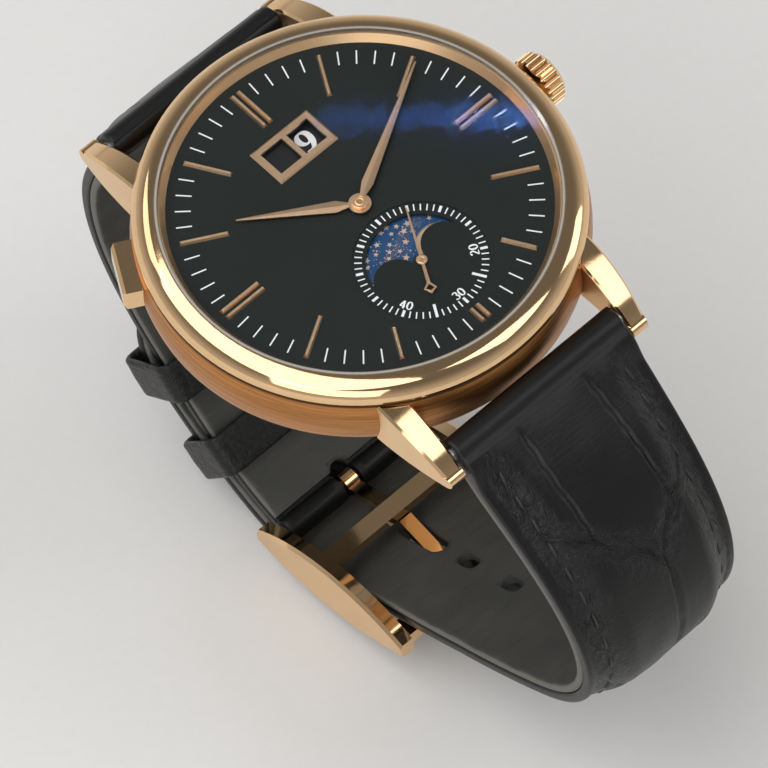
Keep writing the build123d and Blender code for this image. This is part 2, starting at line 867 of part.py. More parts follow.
# Applied hour markers: single bars, double bars at twelve, three and nine, a short double at six
with BuildPart() as hour_markers:
    for hour in range(1, 13):
        double = hour in (3, 6, 9, 12)
        length = marker_length
        if hour in (5, 7):
            length = marker_short_length
        if hour == 6:
            length = marker_six_length
        for side in (-1, 1) if double else (0,):
            with BuildSketch(clock_plane(centre_place, hour * 30, dial_top)):
                with Locations((side * marker_pair / 2, marker_outer - length / 2)):
                    Rectangle(marker_width, length)
            extrude(amount=marker_height, taper=marker_taper_angle)
hour_markers.part.label = "hour_markers"
export_step(hour_markers.part, "parts/hour_markers.step")

# Bevelled frame of the two date windows
with BuildPart() as date_frame:
    with BuildSketch(Plane.XY.offset(dial_top)):
        with Locations((0, date_rise)):
            Rectangle(date_frame_width, date_frame_height)
    extrude(amount=marker_height)
    chamfer(date_frame.edges().group_by(Axis.Z)[-1], length=date_frame_bevel)
    with BuildSketch(Plane.XY.offset(dial_top)):
        with Locations((-date_pitch / 2, date_rise), (date_pitch / 2, date_rise)):
            Rectangle(date_window_width, date_window_height)
    extrude(amount=marker_height, mode=Mode.SUBTRACT)
date_frame.part.label = "date_frame"
export_step(date_frame.part, "parts/date_frame.step")


def lance_outline(start, length, width):
    """A hand's outline: narrow at its root, widest on the way out and nearly pointed at its tip."""
    with BuildSketch() as outline:
        with BuildLine():
            Polyline(
                (-hand_root_width / 2, 0),
                (-hand_root_width / 2, start),
                (-width / 2, hand_widest_reach),
                (-hand_tip_width / 2, length),
                (hand_tip_width / 2, length),
                (width / 2, hand_widest_reach),
                (hand_root_width / 2, start),
                (hand_root_width / 2, 0),
                close=True,
            )
        make_face()
    return outline.sketch


def roof_plane(plane):
    """The plane across a hand, square to its own +Y."""
    return Plane(origin=plane.origin, x_dir=plane.x_dir, z_dir=plane.y_dir)


def roof_outline(width, thickness):
    """The section of a hand with two facets that meet along its middle; down is up on the roof plane."""
    with BuildSketch() as outline:
        with BuildLine():
            Polyline(
                (-width, 0),
                (width, 0),
                (width, -hand_edge_height),
                (0, -thickness),
                (-width, -hand_edge_height),
                close=True,
            )
        make_face()
    return outline.sketch


# Hour hand on the hour wheel's pipe
hour_plane = clock_plane(centre_place, hour_clock_angle, hour_low)
with BuildPart() as hour_hand:
    with BuildSketch(hour_plane):
        add(lance_outline(hour_hub_radius, hour_length, hour_width))
    extrude(amount=hour_thickness)
    with BuildSketch(roof_plane(hour_plane)):
        add(roof_outline(hour_width, hour_thickness))
    extrude(amount=hour_length, both=True, mode=Mode.INTERSECT)
    with BuildSketch(hour_plane):
        Circle(hour_hub_radius)
    extrude(amount=hour_thickness)
    with BuildSketch(hour_plane):
        Circle(hour_radius)
    extrude(amount=hour_thickness, mode=Mode.SUBTRACT)
hour_hand.part.label = "hour_hand"
export_step(hour_hand.part, "parts/hour_hand.step")

# Minute hand on the cannon pinion
minute_plane = clock_plane(centre_place, minute_clock_angle, minute_low)
with BuildPart() as minute_hand:
    with BuildSketch(minute_plane):
        add(lance_outline(minute_hub_radius, minute_length, minute_width))
    extrude(amount=minute_thickness)
    with BuildSketch(roof_plane(minute_plane)):
        add(roof_outline(minute_width, minute_thickness))
    extrude(amount=minute_length, both=True, mode=Mode.INTERSECT)
    with BuildSketch(minute_plane):
        Circle(minute_hub_radius)
    extrude(amount=minute_thickness)
    with BuildSketch(minute_plane):
        Circle(cannon_radius)
    extrude(amount=minute_thickness, mode=Mode.SUBTRACT)
minute_hand.part.label = "minute_hand"
export_step(minute_hand.part, "parts/minute_hand.step")

# Small seconds hand with an open arrow on its tail
seconds_plane = clock_plane(fourth_place, seconds_clock_angle, seconds_low)
with BuildPart() as seconds_hand:
    with BuildSketch(seconds_plane):
        with BuildLine():
            Polyline(
                (-seconds_width / 2, seconds_arrow_length - seconds_tail),
                (-hand_tip_width / 2, seconds_length),
                (hand_tip_width / 2, seconds_length),
                (seconds_width / 2, seconds_arrow_length - seconds_tail),
                close=True,
            )
        make_face()
        Circle(seconds_hub_radius)
        with BuildLine():
            Polyline(
                (0, seconds_arrow_length - seconds_tail + seconds_arrow_wall),
                (-seconds_arrow_width / 2, seconds_arrow_length / 2 - seconds_tail),
                (0, -seconds_tail),
                (seconds_arrow_width / 2, seconds_arrow_length / 2 - seconds_tail),
                close=True,
            )
        make_face()
        with BuildLine():
            Polyline(
                (0, seconds_arrow_length - seconds_tail - seconds_arrow_wall),
                (seconds_arrow_wall - seconds_arrow_width / 2, seconds_arrow_length / 2 - seconds_tail),
                (0, 2 * seconds_arrow_wall - seconds_tail),
                (seconds_arrow_width / 2 - seconds_arrow_wall, seconds_arrow_length / 2 - seconds_tail),
                close=True,
            )
        make_face(mode=Mode.SUBTRACT)
        Circle(arbor_radius, mode=Mode.SUBTRACT)
    extrude(amount=seconds_thickness)
seconds_hand.part.label = "seconds_hand"
export_step(seconds_hand.part, "parts/seconds_hand.step")


def stepped_outline(place, steps):
    """Half the section of a turned shaft: its steps are radii, each with where it starts and ends."""
    corners = [(0, steps[0][1])]
    for radius, low, high in steps:
        corners.append((radius, low))
        corners.append((radius, high))
    corners.append((0, steps[-1][2]))
    with BuildSketch(Plane(origin=(place[0], place[1], 0), x_dir=(1, 0, 0), z_dir=(0, -1, 0))) as outline:
        with BuildLine():
            Polyline(*corners, close=True)
        make_face()
    return outline.sketch


def spin_axis(place):
    """The upright axis of an arbor."""
    return Axis((place[0], place[1], 0), (0, 0, 1))


def spoked(teeth, module, phase):
    """A toothed wheel's outline with five round windows, about its own centre."""
    radius = module * teeth / 2
    with BuildSketch() as outline:
        add(toothed(teeth, module, phase))
        with PolarLocations(radius * wheel_window_reach_share, wheel_windows):
            Circle(radius * wheel_window_share, mode=Mode.SUBTRACT)
    return outline.sketch


# Mainplate with its rim, the arbor holes and the posts of the calendar side
plate_blind_places = (third_place, escape_place, fork_place, balance_place, barrel_place)
with BuildPart() as mainplate:
    with BuildSketch(Plane.XY.offset(plate_low)):
        Circle(movement_radius)
    extrude(amount=plate_thickness)
    with BuildSketch(Plane.XY.offset(bridge_high)):
        Circle(movement_radius)
        Circle(movement_radius - plate_rim_width, mode=Mode.SUBTRACT)
    extrude(amount=train_room)
    for place, radius, disc_low in (
        (fourth_place, post_radius, moon_low),
        (units_place, date_post_radius, units_low),
        (tens_place, date_post_radius, moon_low),
    ):
        shoulder = (radius + shoulder_width, plate_high, disc_low - running)
        steps = (shoulder, (radius, disc_low - running, disc_low + disc_thickness))
        revolve(stepped_outline(place, steps), axis=spin_axis(place))
    minute_post = ((minute_post_radius, plate_high, hour_wheel_low + motion_thickness),)
    revolve(stepped_outline(minute_wheel_place, minute_post), axis=spin_axis(minute_wheel_place))
    with BuildSketch(Plane.XY.offset(plate_low)):
        with Locations(centre_place, fourth_place):
            Circle(arbor_radius + running)
    extrude(amount=dial_low - plate_low, mode=Mode.SUBTRACT)
    with BuildSketch(Plane.XY.offset(plate_low)):
        with Locations(*plate_blind_places):
            Circle(pivot_radius + running)
    extrude(amount=pivot_depth, mode=Mode.SUBTRACT)
    with BuildSketch(Plane.XY.offset(bridge_high)):
        with Locations(*bridge_screw_places):
            Circle(bridge_screw_radius + seat_gap)
    extrude(amount=train_room, mode=Mode.SUBTRACT)
    with BuildSketch(Plane.XY.offset(bridge_high)):
        with Locations((slot_middle, 0)):
            Rectangle(slot_length, slot_width)
    extrude(amount=stem_z + slot_width / 2 - bridge_high, mode=Mode.SUBTRACT)
mainplate.part.label = "mainplate"
export_step(mainplate.part, "parts/mainplate.step")

# Three-quarter train bridge with the pockets of the winding wheels and the room for the balance
bridge_jewel_places = (centre_place, third_place, fourth_place, escape_place)
ratchet_pocket = ratchet_module * (ratchet_teeth / 2 + tooth_height_share) + pocket_room
crown_wheel_pocket = ratchet_module * (crown_wheel_teeth / 2 + tooth_height_share) + pocket_room
with BuildPart() as train_bridge:
    with BuildSketch(Plane.XY.offset(bridge_low)):
        Circle(movement_radius)
        with Locations(balance_place):
            Circle(balance_room, mode=Mode.SUBTRACT)
    extrude(amount=bridge_thickness)
    with BuildSketch(Plane.XY.offset(bridge_low)):
        with Locations(barrel_place):
            Circle(ratchet_pocket)
        with Locations(crown_wheel_place):
            Circle(crown_wheel_pocket)
            Circle(boss_radius, mode=Mode.SUBTRACT)
    extrude(amount=wheel_pocket, mode=Mode.SUBTRACT)
    with BuildSketch(Plane.XY.offset(stem_z - slot_width / 2)):
        with Locations((slot_middle, 0)):
            Rectangle(slot_length, slot_width)
    extrude(amount=bridge_thickness, mode=Mode.SUBTRACT)
    with BuildSketch(Plane.XY.offset(bridge_low)):
        with Locations(*bridge_jewel_places):
            Circle(jewel_radius)
    extrude(amount=jewel_height, mode=Mode.SUBTRACT)
    with BuildSketch(Plane.XY.offset(bridge_low)):
        with Locations(*bridge_jewel_places):
            Circle(arbor_radius + running)
        with Locations(barrel_place):
            Circle(ratchet_arbor_radius + running)
        with Locations(*bridge_screw_places):
            Circle(bridge_screw_radius + running)
    extrude(amount=bridge_thickness, mode=Mode.SUBTRACT)
    with BuildSketch(Plane.XY.offset(bridge_low)):
        with Locations(*bridge_screw_places):
            Circle(bridge_screw_head_radius + running)
    extrude(amount=bridge_screw_head_height, mode=Mode.SUBTRACT)
    with BuildSketch(Plane.XY.offset(bridge_low)):
        with Locations(*cock_screw_places):
            Circle(bridge_screw_radius + seat_gap)
    extrude(amount=cock_screw_depth, mode=Mode.SUBTRACT)
train_bridge.part.label = "train_bridge"
export_step(train_bridge.part, "parts/train_bridge.step")

# Slotted screws of the bridge and of the balance cock
with BuildPart() as bridge_screws:
    for places, head_low, length in (
        (bridge_screw_places, bridge_low, bridge_thickness + bridge_screw_grip),
        (cock_screw_places, cock_low, cock_thickness + cock_screw_depth - running),
    ):
        with BuildSketch(Plane.XY.offset(head_low)):
            with Locations(*places):
                Circle(bridge_screw_head_radius)
        extrude(amount=bridge_screw_head_height)
        with BuildSketch(Plane.XY.offset(head_low)):
            with Locations(*places):
                Circle(bridge_screw_radius)
        extrude(amount=length)
        with BuildSketch(Plane.XY.offset(head_low)):
            with Locations(*places):
                Rectangle(screw_slot_width, 2 * bridge_screw_head_radius)
        extrude(amount=screw_slot_depth, mode=Mode.SUBTRACT)
bridge_screws.part.label = "bridge_screws"
export_step(bridge_screws.part, "parts/bridge_screws.step")

# Ruby bearings of the bridge and of the cock
with BuildPart() as jewels:
    for places, low, height in (
        (bridge_jewel_places, bridge_low, jewel_height),
        ((balance_place,), cock_low, cock_thickness),
    ):
        with BuildSketch(Plane.XY.offset(low)):
            with Locations(*places):
                Circle(jewel_radius)
                Circle(pivot_radius + running, mode=Mode.SUBTRACT)
        extrude(amount=height)
jewels.part.label = "jewels"
export_step(jewels.part, "parts/jewels.step")

# Balance cock across the balance's room, with the stud of the hairspring
cock_plane = Plane(
    origin=(balance_place[0], balance_place[1], cock_low),
    x_dir=(cos(radians(cock_angle)), sin(radians(cock_angle)), 0),
    z_dir=(0, 0, 1),
)
with BuildPart() as balance_cock:
    with BuildSketch(cock_plane):
        SlotCenterToCenter(2 * cock_reach, cock_width)
        Circle(jewel_radius, mode=Mode.SUBTRACT)
        with Locations((-cock_reach, 0), (cock_reach, 0)):
            Circle(bridge_screw_radius + running, mode=Mode.SUBTRACT)
    extrude(amount=cock_thickness)
    with BuildSketch(cock_plane):
        with Locations((-cock_reach, 0), (cock_reach, 0)):
            Circle(bridge_screw_head_radius + running)
    extrude(amount=bridge_screw_head_height, mode=Mode.SUBTRACT)
    with BuildSketch(cock_plane):
        with Locations((hairspring_outer + hairspring_wire + stud_size / 2 + seat_gap, 0)):
            Rectangle(stud_size, stud_size)
    extrude(amount=hairspring_z + hairspring_wire - cock_low)
balance_cock.part.label = "balance_cock"
export_step(balance_cock.part, "parts/balance_cock.step")

# Hairspring: half turns that widen by half a pitch each, with the collet round the balance staff
hairspring_plane = cock_plane.offset(hairspring_z - cock_low)
with BuildPart() as hairspring:
    with BuildLine(hairspring_plane):
        for half in range(2 * hairspring_turns):
            side = 1 if half % 2 == 0 else -1
            near = side * (hairspring_inner + half * hairspring_pitch / 2)
            far = -side * (hairspring_inner + (half + 1) * hairspring_pitch / 2)
            ThreePointArc((near, 0), ((near + far) / 2, side * abs(near - far) / 2), (far, 0))
    start_plane = Plane(
        origin=hairspring_plane.from_local_coords(Vector(hairspring_inner, 0, 0)),
        x_dir=hairspring_plane.x_dir,
        z_dir=hairspring_plane.y_dir,
    )
    with BuildSketch(start_plane):
        Circle(hairspring_wire)
    sweep()
    with BuildSketch(hairspring_plane.offset(-hairspring_wire)):
        Circle(hairspring_inner)
        Circle(balance_staff_radius + running, mode=Mode.SUBTRACT)
    extrude(amount=2 * hairspring_wire)
print("hairspring least gap", round(hairspring_pitch - 2 * hairspring_wire, 3))
hairspring.part.label = "hairspring"
export_step(hairspring.part, "parts/hairspring.step")

# Balance wheel with its staff and roller
with BuildPart() as balance_wheel:
    with BuildSketch(Plane.XY.offset(balance_low)):
        with Locations(balance_place):
            Circle(balance_radius)
            Circle(balance_radius - balance_rim, mode=Mode.SUBTRACT)
    extrude(amount=balance_height)
    with BuildSketch(Plane.XY.offset(balance_low)):
        with Locations(balance_place):
            Circle(roller_radius)
            with PolarLocations(0, 3):
                with Locations(((balance_radius - balance_rim / 2) / 2, 0)):
                    Rectangle(balance_radius - balance_rim / 2, balance_spoke)
    extrude(amount=balance_height / 2)
    staff = (
        (pivot_radius, cock_low + running, bridge_low + running),
        (balance_staff_radius, bridge_low + running, plate_low - running),
        (pivot_radius, plate_low - running, plate_low + pivot_depth - running),
    )
    revolve(stepped_outline(balance_place, staff), axis=spin_axis(balance_place))
    roller = ((roller_radius, centre_low - wheel_thickness - running, centre_low - running),)
    revolve(stepped_outline(balance_place, roller), axis=spin_axis(balance_place))
balance_wheel.part.label = "balance_wheel"
export_step(balance_wheel.part, "parts/balance_wheel.step")

# Pallet fork and the small bridge that holds it
fork_plane = Plane(
    origin=(fork_place[0], fork_place[1], centre_low),
    x_dir=(cos(radians(balance_direction)), sin(radians(balance_direction)), 0),
    z_dir=(0, 0, 1),
)
with BuildPart() as pallet_fork:
    with BuildSketch(fork_plane):
        with Locations((fork_reach / 2, 0)):
            Rectangle(fork_reach, fork_width)
        Rectangle(fork_width, 2 * fork_span)
        with Locations((-fork_width / 2, -fork_span), (-fork_width / 2, fork_span)):
            Rectangle(2 * fork_width, fork_width)
        Circle(fork_width)
    extrude(amount=wheel_thickness)
    arbor = (
        (pivot_radius, fork_bridge_low + running, fork_bridge_high + running),
        (arbor_radius, fork_bridge_high + running, plate_low - running),
        (pivot_radius, plate_low - running, plate_low + pivot_depth - running),
    )
    revolve(stepped_outline(fork_place, arbor), axis=spin_axis(fork_place))
pallet_fork.part.label = "pallet_fork"
export_step(pallet_fork.part, "parts/pallet_fork.step")

with BuildPart() as fork_bridge:
    with BuildSketch(fork_plane.offset(fork_bridge_low - centre_low)):
        Rectangle(fork_bridge_width, 2 * fork_bridge_reach)
        Circle(pivot_radius + running, mode=Mode.SUBTRACT)
    extrude(amount=fork_bridge_high - fork_bridge_low)
    with BuildSketch(fork_plane.offset(fork_bridge_high - centre_low)):
        with Locations((0, foot_middle), (0, -foot_middle)):
            Rectangle(fork_bridge_width, fork_bridge_foot)
    extrude(amount=plate_low - fork_bridge_high)
fork_bridge.part.label = "fork_bridge"
export_step(fork_bridge.part, "parts/fork_bridge.step")

# Going train: each arbor carries a wheel and a pinion, with pivots in the bridge and the mainplate
third_angle = direction(centre_place, third_place)
fourth_angle = direction(third_place, fourth_place)
pivot_low = bridge_low + running
shaft_low = bridge_low + jewel_height + running
shaft_high = plate_low - running
pivot_high = plate_low + pivot_depth - running
pinion_height = wheel_thickness + 2 * running


def meshed(angle, teeth):
    """The phase of a gear that meshes at its far side with a gear lying back along the angle."""
    return angle + 180 + 180 / teeth


with BuildPart() as centre_wheel:
    with BuildSketch(Plane.XY.offset(centre_low)):
        add(spoked(centre_teeth, centre_module, third_angle))
    extrude(amount=wheel_thickness)
    with BuildSketch(Plane.XY.offset(third_low - running)):
        add(toothed(centre_pinion_teeth, barrel_module, barrel_direction))
    extrude(amount=centre_pinion_height)
    shaft = ((pivot_radius, pivot_low, shaft_low), (arbor_radius, shaft_low, minute_high))
    revolve(stepped_outline(centre_place, shaft), axis=spin_axis(centre_place))
centre_wheel.part.label = "centre_wheel"
export_step(centre_wheel.part, "parts/centre_wheel.step")

with BuildPart() as third_wheel:
    with BuildSketch(Plane.XY.offset(third_low)):
        with Locations(third_place):
            add(spoked(third_teeth, third_module, fourth_angle))
    extrude(amount=wheel_thickness)
    with BuildSketch(Plane.XY.offset(centre_low - running)):
        with Locations(third_place):
            add(toothed(third_pinion_teeth, centre_module, meshed(third_angle, third_pinion_teeth)))
    extrude(amount=pinion_height)
    shaft = (
        (pivot_radius, pivot_low, shaft_low),
        (arbor_radius, shaft_low, shaft_high),
        (pivot_radius, shaft_high, pivot_high),
    )
    revolve(stepped_outline(third_place, shaft), axis=spin_axis(third_place))
third_wheel.part.label = "third_wheel"
export_step(third_wheel.part, "parts/third_wheel.step")

with BuildPart() as fourth_wheel:
    with BuildSketch(Plane.XY.offset(fourth_low)):
        with Locations(fourth_place):
            add(spoked(fourth_teeth, fourth_module, escape_direction))
    extrude(amount=wheel_thickness)
    with BuildSketch(Plane.XY.offset(third_low - running)):
        with Locations(fourth_place):
            add(toothed(fourth_pinion_teeth, third_module, meshed(fourth_angle, fourth_pinion_teeth)))
    extrude(amount=pinion_height)
    shaft = ((pivot_radius, pivot_low, shaft_low), (arbor_radius, shaft_low, seconds_high))
    revolve(stepped_outline(fourth_place, shaft), axis=spin_axis(fourth_place))
fourth_wheel.part.label = "fourth_wheel"
export_step(fourth_wheel.part, "parts/fourth_wheel.step")


def saw_toothed():
    """The escape wheel's outline about its own centre, with windows between its hub and its teeth."""
    root = escape_radius - escape_tooth
    pitch = 360 / escape_teeth
    corners = []
    for tooth in range(escape_teeth):
        for share, reach in ((0, root), (0.25, escape_radius), (0.35, escape_radius), (0.45, root)):
            corners.append(polar(reach, (tooth + share) * pitch))
    with BuildSketch() as outline:
        with BuildLine():
            Polyline(*corners, close=True)
        make_face()
        with PolarLocations(root * wheel_window_reach_share, wheel_windows):
            Circle(root * wheel_window_share, mode=Mode.SUBTRACT)
    return outline.sketch


with BuildPart() as escape_wheel:
    with BuildSketch(Plane.XY.offset(centre_low)):
        with Locations(escape_place):
            add(saw_toothed())
    extrude(amount=wheel_thickness)
    with BuildSketch(Plane.XY.offset(fourth_low - running)):
        with Locations(escape_place):
            add(toothed(escape_pinion_teeth, fourth_module, meshed(escape_direction, escape_pinion_teeth)))
    extrude(amount=pinion_height)
    shaft = (
        (pivot_radius, pivot_low, shaft_low),
        (escape_arbor_radius, shaft_low, shaft_high),
        (pivot_radius, shaft_high, pivot_high),
    )
    revolve(stepped_outline(escape_place, shaft), axis=spin_axis(escape_place))
escape_wheel.part.label = "escape_wheel"
export_step(escape_wheel.part, "parts/escape_wheel.step")

# Mainspring barrel, and the arbor with the ratchet wheel that winds it
with BuildPart() as barrel:
    with BuildSketch(Plane.XY.offset(third_low)):
        with Locations(barrel_place):
            add(toothed(barrel_teeth, barrel_module, meshed(barrel_direction, barrel_teeth)))
    extrude(amount=barrel_tooth_height)
    with BuildSketch(Plane.XY.offset(third_low)):
        with Locations(barrel_place):
            Circle(barrel_module * barrel_teeth / 2 - barrel_wall)
    extrude(amount=barrel_thickness)
    with BuildSketch(Plane.XY.offset(third_low)):
        with Locations(barrel_place):
            Circle(ratchet_arbor_radius + running)
    extrude(amount=barrel_thickness, mode=Mode.SUBTRACT)
barrel.part.label = "barrel"
export_step(barrel.part, "parts/barrel.step")

with BuildPart() as ratchet_wheel:
    with BuildSketch(Plane.XY.offset(bridge_low + 2 * running)):
        with Locations(barrel_place):
            add(toothed(ratchet_teeth, ratchet_module, crown_wheel_direction))
    extrude(amount=ratchet_thickness)
    shaft = (
        (ratchet_arbor_radius, bridge_low + 2 * running, shaft_high),
        (pivot_radius, shaft_high, pivot_high),
    )
    revolve(stepped_outline(barrel_place, shaft), axis=spin_axis(barrel_place))
ratchet_wheel.part.label = "ratchet_wheel"
export_step(ratchet_wheel.part, "parts/ratchet_wheel.step")

with BuildPart() as crown_wheel:
    with BuildSketch(Plane.XY.offset(bridge_low + 2 * running)):
        with Locations(crown_wheel_place):
            crown_wheel_phase = meshed(crown_wheel_direction, crown_wheel_teeth)
            add(toothed(crown_wheel_teeth, ratchet_module, crown_wheel_phase))
            Circle(boss_radius + running, mode=Mode.SUBTRACT)
    extrude(amount=ratchet_thickness)
crown_wheel.part.label = "crown_wheel"
export_step(crown_wheel.part, "parts/crown_wheel.step")

# Winding rotor on its bearing
with BuildPart() as rotor:
    with BuildSketch(Plane.XY.offset(rotor_low)):
        Circle(rotor_radius)
        Circle(rotor_radius - rotor_rim_width, mode=Mode.SUBTRACT)
        with Locations((0, rotor_radius / 2)):
            Rectangle(2 * rotor_radius, rotor_radius, mode=Mode.SUBTRACT)
    extrude(amount=rotor_thickness)
    with BuildSketch(Plane.XY.offset(rotor_low + rotor_web_inset)):
        Circle(rotor_radius - rotor_rim_width / 2)
        with Locations((0, rotor_radius / 2)):
            Rectangle(2 * rotor_radius, rotor_radius, mode=Mode.SUBTRACT)
        with PolarLocations(rotor_window_reach, 4, start_angle=202.5, angular_range=180):
            Circle(rotor_window_radius, mode=Mode.SUBTRACT)
        Circle(rotor_hub_radius)
    extrude(amount=rotor_thickness - rotor_web_inset)
    with BuildSketch(Plane.XY.offset(rotor_low)):
        Circle(rotor_bearing_radius + running)
    extrude(amount=rotor_thickness, mode=Mode.SUBTRACT)
rotor.part.label = "rotor"
export_step(rotor.part, "parts/rotor.step")

with BuildPart() as rotor_bearing:
    cap_high = rotor_low + rotor_web_inset - running
    bearing = (
        (rotor_cap_radius, cap_high - rotor_cap_height, cap_high),
        (rotor_bearing_radius, cap_high, rotor_high + running),
        (rotor_cap_radius, rotor_high + running, bridge_low),
    )
    revolve(stepped_outline(centre_place, bearing), axis=spin_axis(centre_place))
rotor_bearing.part.label = "rotor_bearing"
export_step(rotor_bearing.part, "parts/rotor_bearing.step")

# Motion work: cannon pinion, minute wheel and hour wheel
with BuildPart() as cannon_pinion:
    with BuildSketch(Plane.XY.offset(cannon_low)):
        add(toothed(cannon_teeth, motion_module, motion_direction))
    extrude(amount=motion_thickness)
    with BuildSketch(Plane.XY.offset(cannon_low)):
        Circle(cannon_radius)
    extrude(amount=minute_high - cannon_low)
    with BuildSketch(Plane.XY.offset(cannon_low)):
        Circle(arbor_radius)
    extrude(amount=minute_high - cannon_low, mode=Mode.SUBTRACT)
cannon_pinion.part.label = "cannon_pinion"
export_step(cannon_pinion.part, "parts/cannon_pinion.step")

with BuildPart() as minute_wheel:
    with BuildSketch(Plane.XY.offset(cannon_low)):
        with Locations(minute_wheel_place):
            add(toothed(minute_wheel_teeth, motion_module, meshed(motion_direction, minute_wheel_teeth)))
    extrude(amount=motion_thickness)
    with BuildSketch(Plane.XY.offset(cannon_low + motion_thickness)):
        with Locations(minute_wheel_place):
            add(toothed(minute_pinion_teeth, minute_pinion_module, motion_direction + 180))
    extrude(amount=motion_gap + motion_thickness)
    with BuildSketch(Plane.XY.offset(cannon_low)):
        with Locations(minute_wheel_place):
            Circle(minute_post_radius + running)
    extrude(amount=dial_low - cannon_low, mode=Mode.SUBTRACT)
minute_wheel.part.label = "minute_wheel"
export_step(minute_wheel.part, "parts/minute_wheel.step")

with BuildPart() as hour_wheel:
    with BuildSketch(Plane.XY.offset(hour_wheel_low)):
        hour_wheel_phase = meshed(motion_direction + 180, hour_wheel_teeth)
        add(toothed(hour_wheel_teeth, minute_pinion_module, hour_wheel_phase))
    extrude(amount=motion_thickness)
    with BuildSketch(Plane.XY.offset(hour_wheel_low)):
        Circle(hour_radius)
    extrude(amount=hour_high - hour_wheel_low)
    with BuildSketch(Plane.XY.offset(hour_wheel_low)):
        Circle(hour_bore)
    extrude(amount=hour_high - hour_wheel_low, mode=Mode.SUBTRACT)
hour_wheel.part.label = "hour_wheel"
export_step(hour_wheel.part, "parts/hour_wheel.step")

# Discs that show through the dial: the moon, the date's units and the date's tens
with BuildPart() as moon_disc:
    with BuildSketch(Plane.XY.offset(moon_low)):
        with Locations(fourth_place):
            Circle(moon_disc_radius)
            Circle(post_radius + running, mode=Mode.SUBTRACT)
    extrude(amount=disc_thickness)
moon_disc.part.label = "moon_disc"
export_step(moon_disc.part, "parts/moon_disc.step")

with BuildPart() as date_units_disc:
    with BuildSketch(Plane.XY.offset(units_low)):
        with Locations(units_place):
            Circle(units_disc_radius)
            Circle(date_post_radius + running, mode=Mode.SUBTRACT)
    extrude(amount=disc_thickness)
date_units_disc.part.label = "date_units_disc"
export_step(date_units_disc.part, "parts/date_units_disc.step")

with BuildPart() as date_tens_disc:
    with BuildSketch(Plane.XY.offset(moon_low)):
        with Locations(tens_place):
            Circle(tens_disc_radius)
            Circle(date_post_radius + running, mode=Mode.SUBTRACT)
    extrude(amount=disc_thickness)
date_tens_disc.part.label = "date_tens_disc"
export_step(date_tens_disc.part, "parts/date_tens_disc.step")


# Strap: seams in the plane of the loop, with the lining inside and the padded leather outside
def seam(points):
    """A smooth seam through points of the loop's plane."""
    with BuildLine() as line:
        Spline(*points)
    return line.edges()[0]


def beside(route, share, offset):
    """The point at a share of a seam, moved to the left of its run by an offset."""
    at = route.position_at(share)
    run = route.tangent_at(share)
    return (at.X - run.Y * offset, at.Y + run.X * offset)


def buckle_point(along, out):
    """A point of the loop's plane from the buckle's own frame."""
    tilt = radians(buckle_tilt)
    y = buckle_bar_y - along * cos(tilt) - out * sin(tilt)
    return (y, along * sin(tilt) - out * cos(tilt) - loop_depth)


def leather_at(share, padded_end):
    """The leather's thickness at a share of a seam, padded up to the padding's end."""
    padded = min(share / padded_end, 1)
    return body_thickness + (padding_thickness - body_thickness) * sin(pi * padded**0.6)


def loop_places(shares):
    return [(reach * loop_reach, depth * loop_depth) for reach, depth in shares]


lug_bar_places = ((lug_bar_reach, lug_bar_height), (-lug_bar_reach, lug_bar_height))
buckle_bar_place = buckle_point(0, 0)
short_route = seam([lug_bar_places[0], *loop_places(short_route_shares), buckle_bar_place])
tail_places = []
for share in tail_shares:
    clear = leather_at(share, 1) + soft_gap + lining_thickness
    tail_places.append(beside(short_route, share, clear))
over_bar = buckle_bar_radius + running + buckle_leather + soft_gap + lining_thickness
under_front = buckle_front_out - front_bar_height / 2 - soft_gap - body_thickness
buckle_places = [
    buckle_point(buckle_front, under_front),
    buckle_point(buckle_front / 2, (under_front + over_bar) / 2 + buckle_crown),
    buckle_point(0, over_bar),
]
long_route = seam([lug_bar_places[1], *loop_places(long_route_shares), *buckle_places, *tail_places])


def layer_outline(route, side, first, last, inner, outer):
    """The outline of one layer of a strap between two shares of its seam; inner and outer are functions."""
    shares = [first + (last - first) * n / strap_stations for n in range(strap_stations + 1)]
    near = [beside(route, share, side * inner(share)) for share in shares]
    far = [beside(route, share, side * outer(share)) for share in shares]
    with BuildSketch(Plane.YZ) as outline:
        with BuildLine():
            Spline(*near)
            Line(near[-1], far[-1])
            Spline(*far)
            Line(far[0], near[0])
        make_face()
    return outline.sketch


def taper_outline():
    """The strap's width from the lugs down to the buckle, seen from twelve o'clock."""
    wide = strap_width / 2 - strap_play
    slim = buckle_width / 2 - strap_play
    with BuildSketch(Plane.XZ) as outline:
        with BuildLine():
            Polyline(
                (wide, lug_bar_height + overrun),
                (wide, 0),
                (slim, -taper_drop),
                (slim, -2 * loop_depth),
                (-slim, -2 * loop_depth),
                (-slim, -taper_drop),
                (-wide, 0),
                (-wide, lug_bar_height + overrun),
                close=True,
            )
        make_face()
    return outline.sketch


def half_width(z):
    """Half the strap's width at a height."""
    fall = min(max(-z / taper_drop, 0), 1)
    return strap_width / 2 - strap_play - fall * (strap_width - buckle_width) / 2


def nothing(share):
    return 0


def lining_inner(share):
    return -lining_thickness


def short_outer(share):
    return leather_at(share, 1)


def long_outer(share):
    return leather_at(share, long_padding_share)


buckle_end_radius = buckle_bar_radius + running + buckle_leather
short_lining_first = (lug_end_radius + soft_gap) / short_route.length
short_lining_last = 1 - (buckle_end_radius + soft_gap) / short_route.length
long_lining_first = (lug_end_radius + soft_gap) / long_route.length
slot_middle_along = tang_slot_start + tang_slot_length / 2
slot_centre = buckle_point(slot_middle_along, 0)
samples = [n / 400 for n in range(401)]


def share_near(route, place):
    """The share of a seam nearest to a place."""

    def gap(share):
        at = route.position_at(share)
        return hypot(at.X - place[0], at.Y - place[1])

    return min(samples, key=gap)


